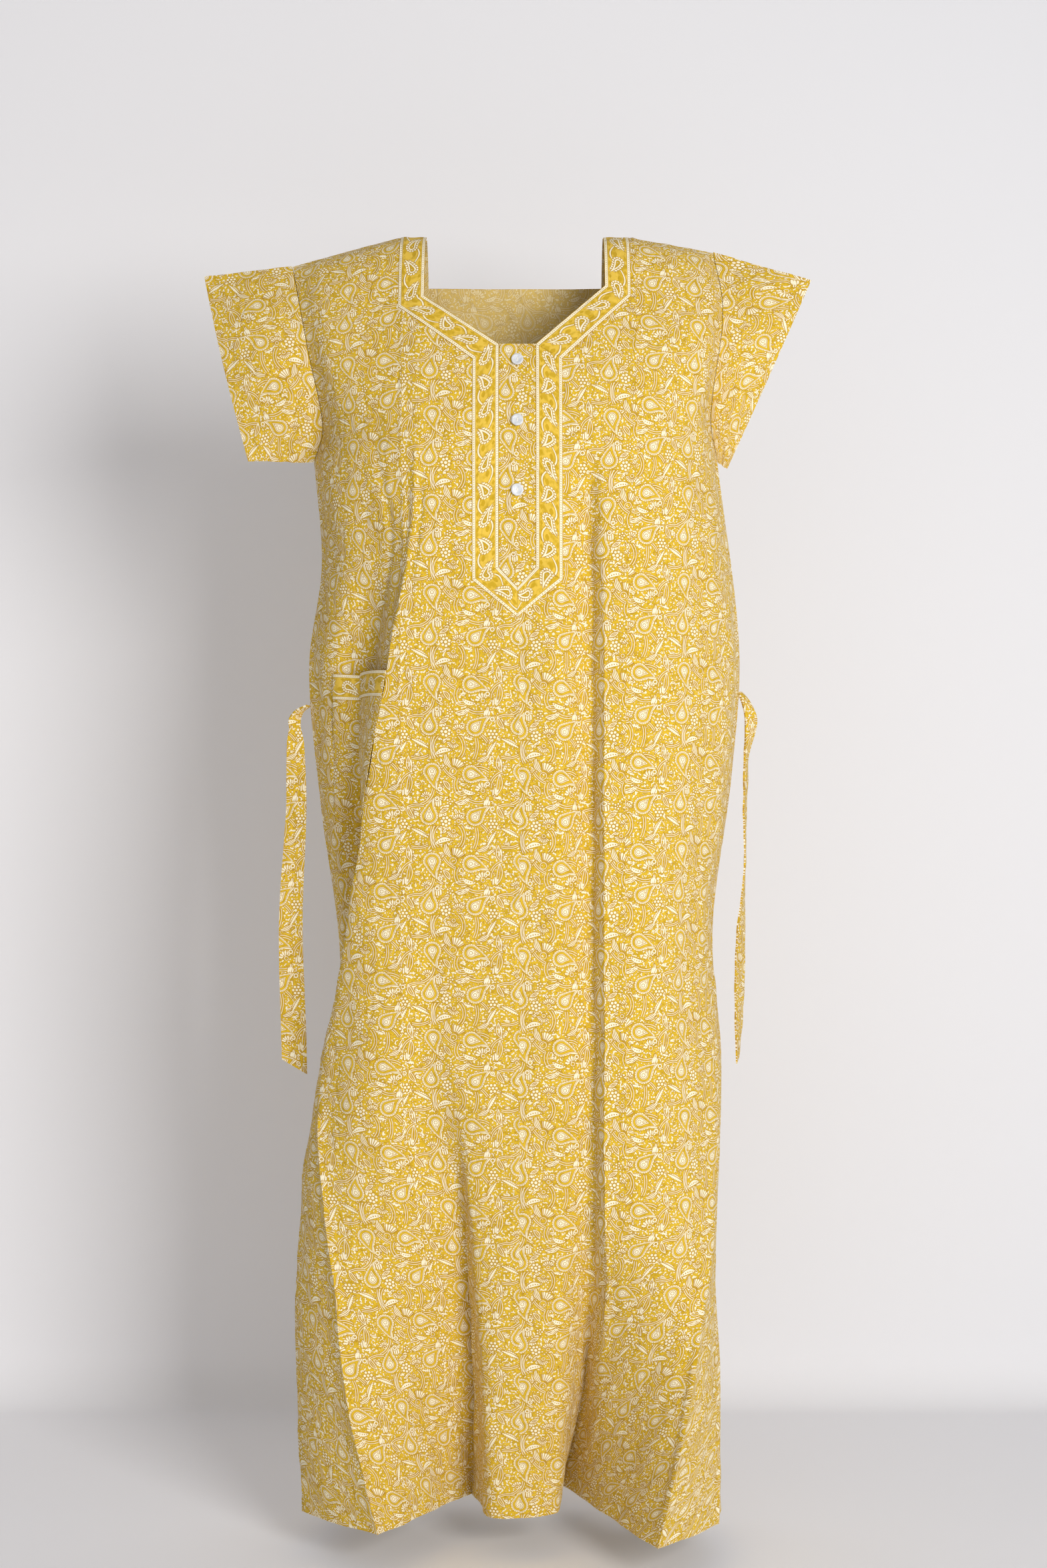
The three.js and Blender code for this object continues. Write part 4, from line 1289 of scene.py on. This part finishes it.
def ribbon(name, path, widths, turns, thickness, uv_x, slant=0.0, step=3.0):
    """A flat double-cloth strap: centre path points, widths, and how far each is turned edge-on."""
    path, widths, turns = np.array(path, float), np.array(widths, float), np.radians(turns)
    length = np.concatenate([[0], np.cumsum(np.linalg.norm(np.diff(path, axis=0), axis=1))])
    spots = np.linspace(0, length[-1], max(4, round(length[-1] / step)))
    keys = np.column_stack([length, path, widths, turns])
    fine = along(keys.tolist(), spots)
    cross = np.linspace(-1, 1, 13)
    front = np.zeros((len(spots), len(cross), 3))
    uv = np.zeros((len(spots), len(cross), 2))
    for c, t in enumerate(cross):
        shift = t * fine[:, 3] / 2
        front[:, c, 0] = fine[:, 0] + shift * np.cos(fine[:, 4])
        front[:, c, 1] = fine[:, 1] + shift * np.sin(fine[:, 4])
        front[:, c, 2] = fine[:, 2] + slant * t * np.clip(1 - (length[-1] - spots) / 40, 0, 1)
        uv[:, c, 0] = uv_x + shift
        uv[:, c, 1] = -spots
    normals = grid_normals(front, 1)
    bow = (1 - cross ** 2)[None, :, None] * 0.6
    front = front + normals * (bow + 0.25 * ripple(uv, 41, (15, 23, 31), 1.0)[..., None])
    strap = place(name, grid_mesh(name, front, uv))
    thicken(strap, thickness, COTTON, COTTON)
    return strap


TIE_Y = 6.0


def build_ties():
    fold_right = ribbon("tie_right_fold_cloth",
                        [(-221, TIE_Y, -500), (-231, TIE_Y, -506), (-236, TIE_Y, -515),
                         (-235.5, TIE_Y, -524)],
                        [9, 12, 13, 12], [70, 50, 20, 0], 2.2, 20)
    strap_right = ribbon("tie_right_cloth",
                         [(-235.5, TIE_Y, -521), (-235, TIE_Y, -540), (-234, TIE_Y - 1, -610),
                          (-240, TIE_Y, -730), (-237, TIE_Y + 1, -850), (-236, TIE_Y, -887)],
                         [11, 18, 22, 25, 27, 27], [0, 6, -8, 8, -4, 0], 1.6, 60, slant=-8.0)
    fold_left = ribbon("tie_left_fold_cloth",
                       [(241, TIE_Y, -486), (248, TIE_Y, -498), (253, TIE_Y, -516),
                        (248, TIE_Y, -551)],
                       [10, 13, 15, 12], [60, 40, 30, 62], 2.2, -20)
    strap_left = ribbon("tie_left_cloth",
                        [(248, TIE_Y, -548), (246.5, TIE_Y, -610), (246, TIE_Y, -674),
                         (242, TIE_Y, -745), (240.5, TIE_Y, -810), (239, TIE_Y, -877)],
                        [13, 20, 24, 26, 26, 26], [66, 76, 84, 66, 64, 78], 1.6, -60, slant=5.0)
    for side, fold, strap, root, tip, knee in (
            ("right", fold_right, strap_right, (-221, 6, -502), (-231, 6, -508), -522),
            ("left", fold_left, strap_left, (241, 6, -487), (249, 6, -497), -549)):
        wear(fold, None, f"tie_{side}_fold")
        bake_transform(fold)
        wear(strap, None, f"tie_{side}")
        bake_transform(strap)


# ---------------------------------------------------------------- buttons

BUTTONS = ("top", "middle", "bottom")
BUTTON_SIDES = 64


def pearl_material():
    material, tree, shader = new_material("button_pearl")
    coordinates = tree.nodes.new("ShaderNodeTexCoord")
    cloud = tree.nodes.new("ShaderNodeTexNoise")
    cloud.inputs["Scale"].default_value = 260.0
    tree.links.new(coordinates.outputs["Object"], cloud.inputs["Vector"])
    colour = ramp(tree, Value(tree, cloud.outputs[0]),
                  [(0.35, srgb(200, 203, 207)), (0.7, srgb(226, 228, 230))])
    tree.links.new(colour, shader.inputs["Base Color"])
    shader.inputs["Roughness"].default_value = 0.42
    shader.inputs["Coat Weight"].default_value = 0.15
    return material


def thread_material():
    material, tree, shader = new_material("sewing_thread")
    coordinates = tree.nodes.new("ShaderNodeTexCoord")
    twist = tree.nodes.new("ShaderNodeTexWave")
    twist.inputs["Scale"].default_value = 900.0
    tree.links.new(coordinates.outputs["Object"], twist.inputs["Vector"])
    colour = ramp(tree, Value(tree, twist.outputs[1]),
                  [(0.0, srgb(232, 226, 208)), (1.0, srgb(250, 247, 238))])
    tree.links.new(colour, shader.inputs["Base Color"])
    shader.inputs["Roughness"].default_value = 0.7
    return material


def build_button(name, pearl, thread):
    low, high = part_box(f"button_{name}")
    centre = (low + high) / 2
    radius = (high.x - low.x) / 2
    axis = Vector(next(j for j in frame["joints"] if j["name"] == f"{name}_button_turn")["axis"])
    turn = Vector((0, 1, 0)).rotation_difference(axis)
    profile = [(0.0, -0.7), (0.3, -0.7), (0.54, -0.72), (0.64, -0.86), (0.7, -1.03), (0.78, -1.08),
               (0.88, -1.03), (0.96, -0.85), (1.0, -0.3), (0.98, 0.5), (0.9, 0.95), (0.0, 1.0)]
    bm = bmesh.new()
    rings = []
    half = 1.0 * MM
    for share, y in profile[1:-1]:
        ring = []
        for k in range(BUTTON_SIDES):
            angle = 2 * math.pi * k / BUTTON_SIDES
            x, z = share * radius * math.cos(angle), share * radius * math.sin(angle)
            ring.append(bm.verts.new((x, y * half, z)))
        rings.append(ring)
    for a, b in zip(rings, rings[1:]):
        for k in range(BUTTON_SIDES):
            bm.faces.new((a[k], b[k], b[(k + 1) % BUTTON_SIDES], a[(k + 1) % BUTTON_SIDES]))
    for ring, y in ((rings[0], profile[0][1]), (rings[-1], profile[-1][1])):
        hub = bm.verts.new((0, y * half, 0))
        for k in range(BUTTON_SIDES):
            order = (hub, ring[k], ring[(k + 1) % BUTTON_SIDES])
            bm.faces.new(order if y < 0 else order[::-1])
    for vert in bm.verts:
        if vert.co.y < 0:
            dip = 1 - (vert.co.x / (1.3 * MM)) ** 2 - (vert.co.z / (3.4 * MM)) ** 2
            vert.co.y += max(0.0, dip) * 0.5 * MM
    bmesh.ops.recalc_face_normals(bm, faces=bm.faces)
    mesh = bpy.data.meshes.new(f"button_{name}")
    bm.to_mesh(mesh)
    bm.free()
    mesh.transform(Matrix.Translation(centre) @ turn.to_matrix().to_4x4())
    mesh.materials.append(pearl)
    for face in mesh.polygons:
        face.use_smooth = True
    mesh.set_sharp_from_angle(angle=math.radians(40))
    button = place(f"button_{name}_disc", mesh)
    wear(button, f"{name}_button", f"button_{name}")
    build_button_thread(name, centre, turn, thread)


def build_button_thread(name, centre, turn, material):
    """The strands through the two holes, their ends running back behind the button."""
    curve = bpy.data.curves.new(f"button_{name}_thread", "CURVE")
    curve.dimensions = "3D"
    curve.bevel_depth = 0.22 * MM
    curve.bevel_resolution = 3
    for dx in (-0.3, 0.0, 0.3):
        spline = curve.splines.new("POLY")
        points = [(dx, 1.8, -2.0), (dx, -0.5, -1.9), (dx, -0.75, -1.2), (dx, -0.7, 0), (dx, -0.75, 1.2),
                  (dx, -0.5, 1.9), (dx, 1.8, 2.0)]
        spline.points.add(len(points) - 1)
        for point, (x, y, z) in zip(spline.points, points):
            point.co = (*((turn @ Vector((x, y, z))) * MM + centre), 1)
    holder = bpy.data.objects.new(f"button_{name}_stitch", curve)
    bpy.context.scene.collection.objects.link(holder)
    bpy.context.view_layer.update()
    mesh = bpy.data.meshes.new_from_object(holder)
    bpy.data.objects.remove(holder)
    mesh.materials.clear()
    mesh.materials.append(material)
    stitch = place(f"button_{name}_stitch", mesh)
    wear(stitch, f"{name}_button", f"button_thread_{name}")


# ---------------------------------------------------------------- everything


add_camera()
add_lights()
add_room()
front_chest = Chest(build_front(), 1)
back_chest = Chest([build_back()], -1)
build_sleeve("right")
build_sleeve("left")
build_borders(front_chest, back_chest)
build_band("button_band_upper_cloth", front_chest, "button_band_upper", 0.65)
build_band("button_band_under_cloth", front_chest, "button_band_under", -1.2)
build_pocket()
build_ties()
pearl, thread = pearl_material(), thread_material()
for name in BUTTONS:
    build_button(name, pearl, thread)
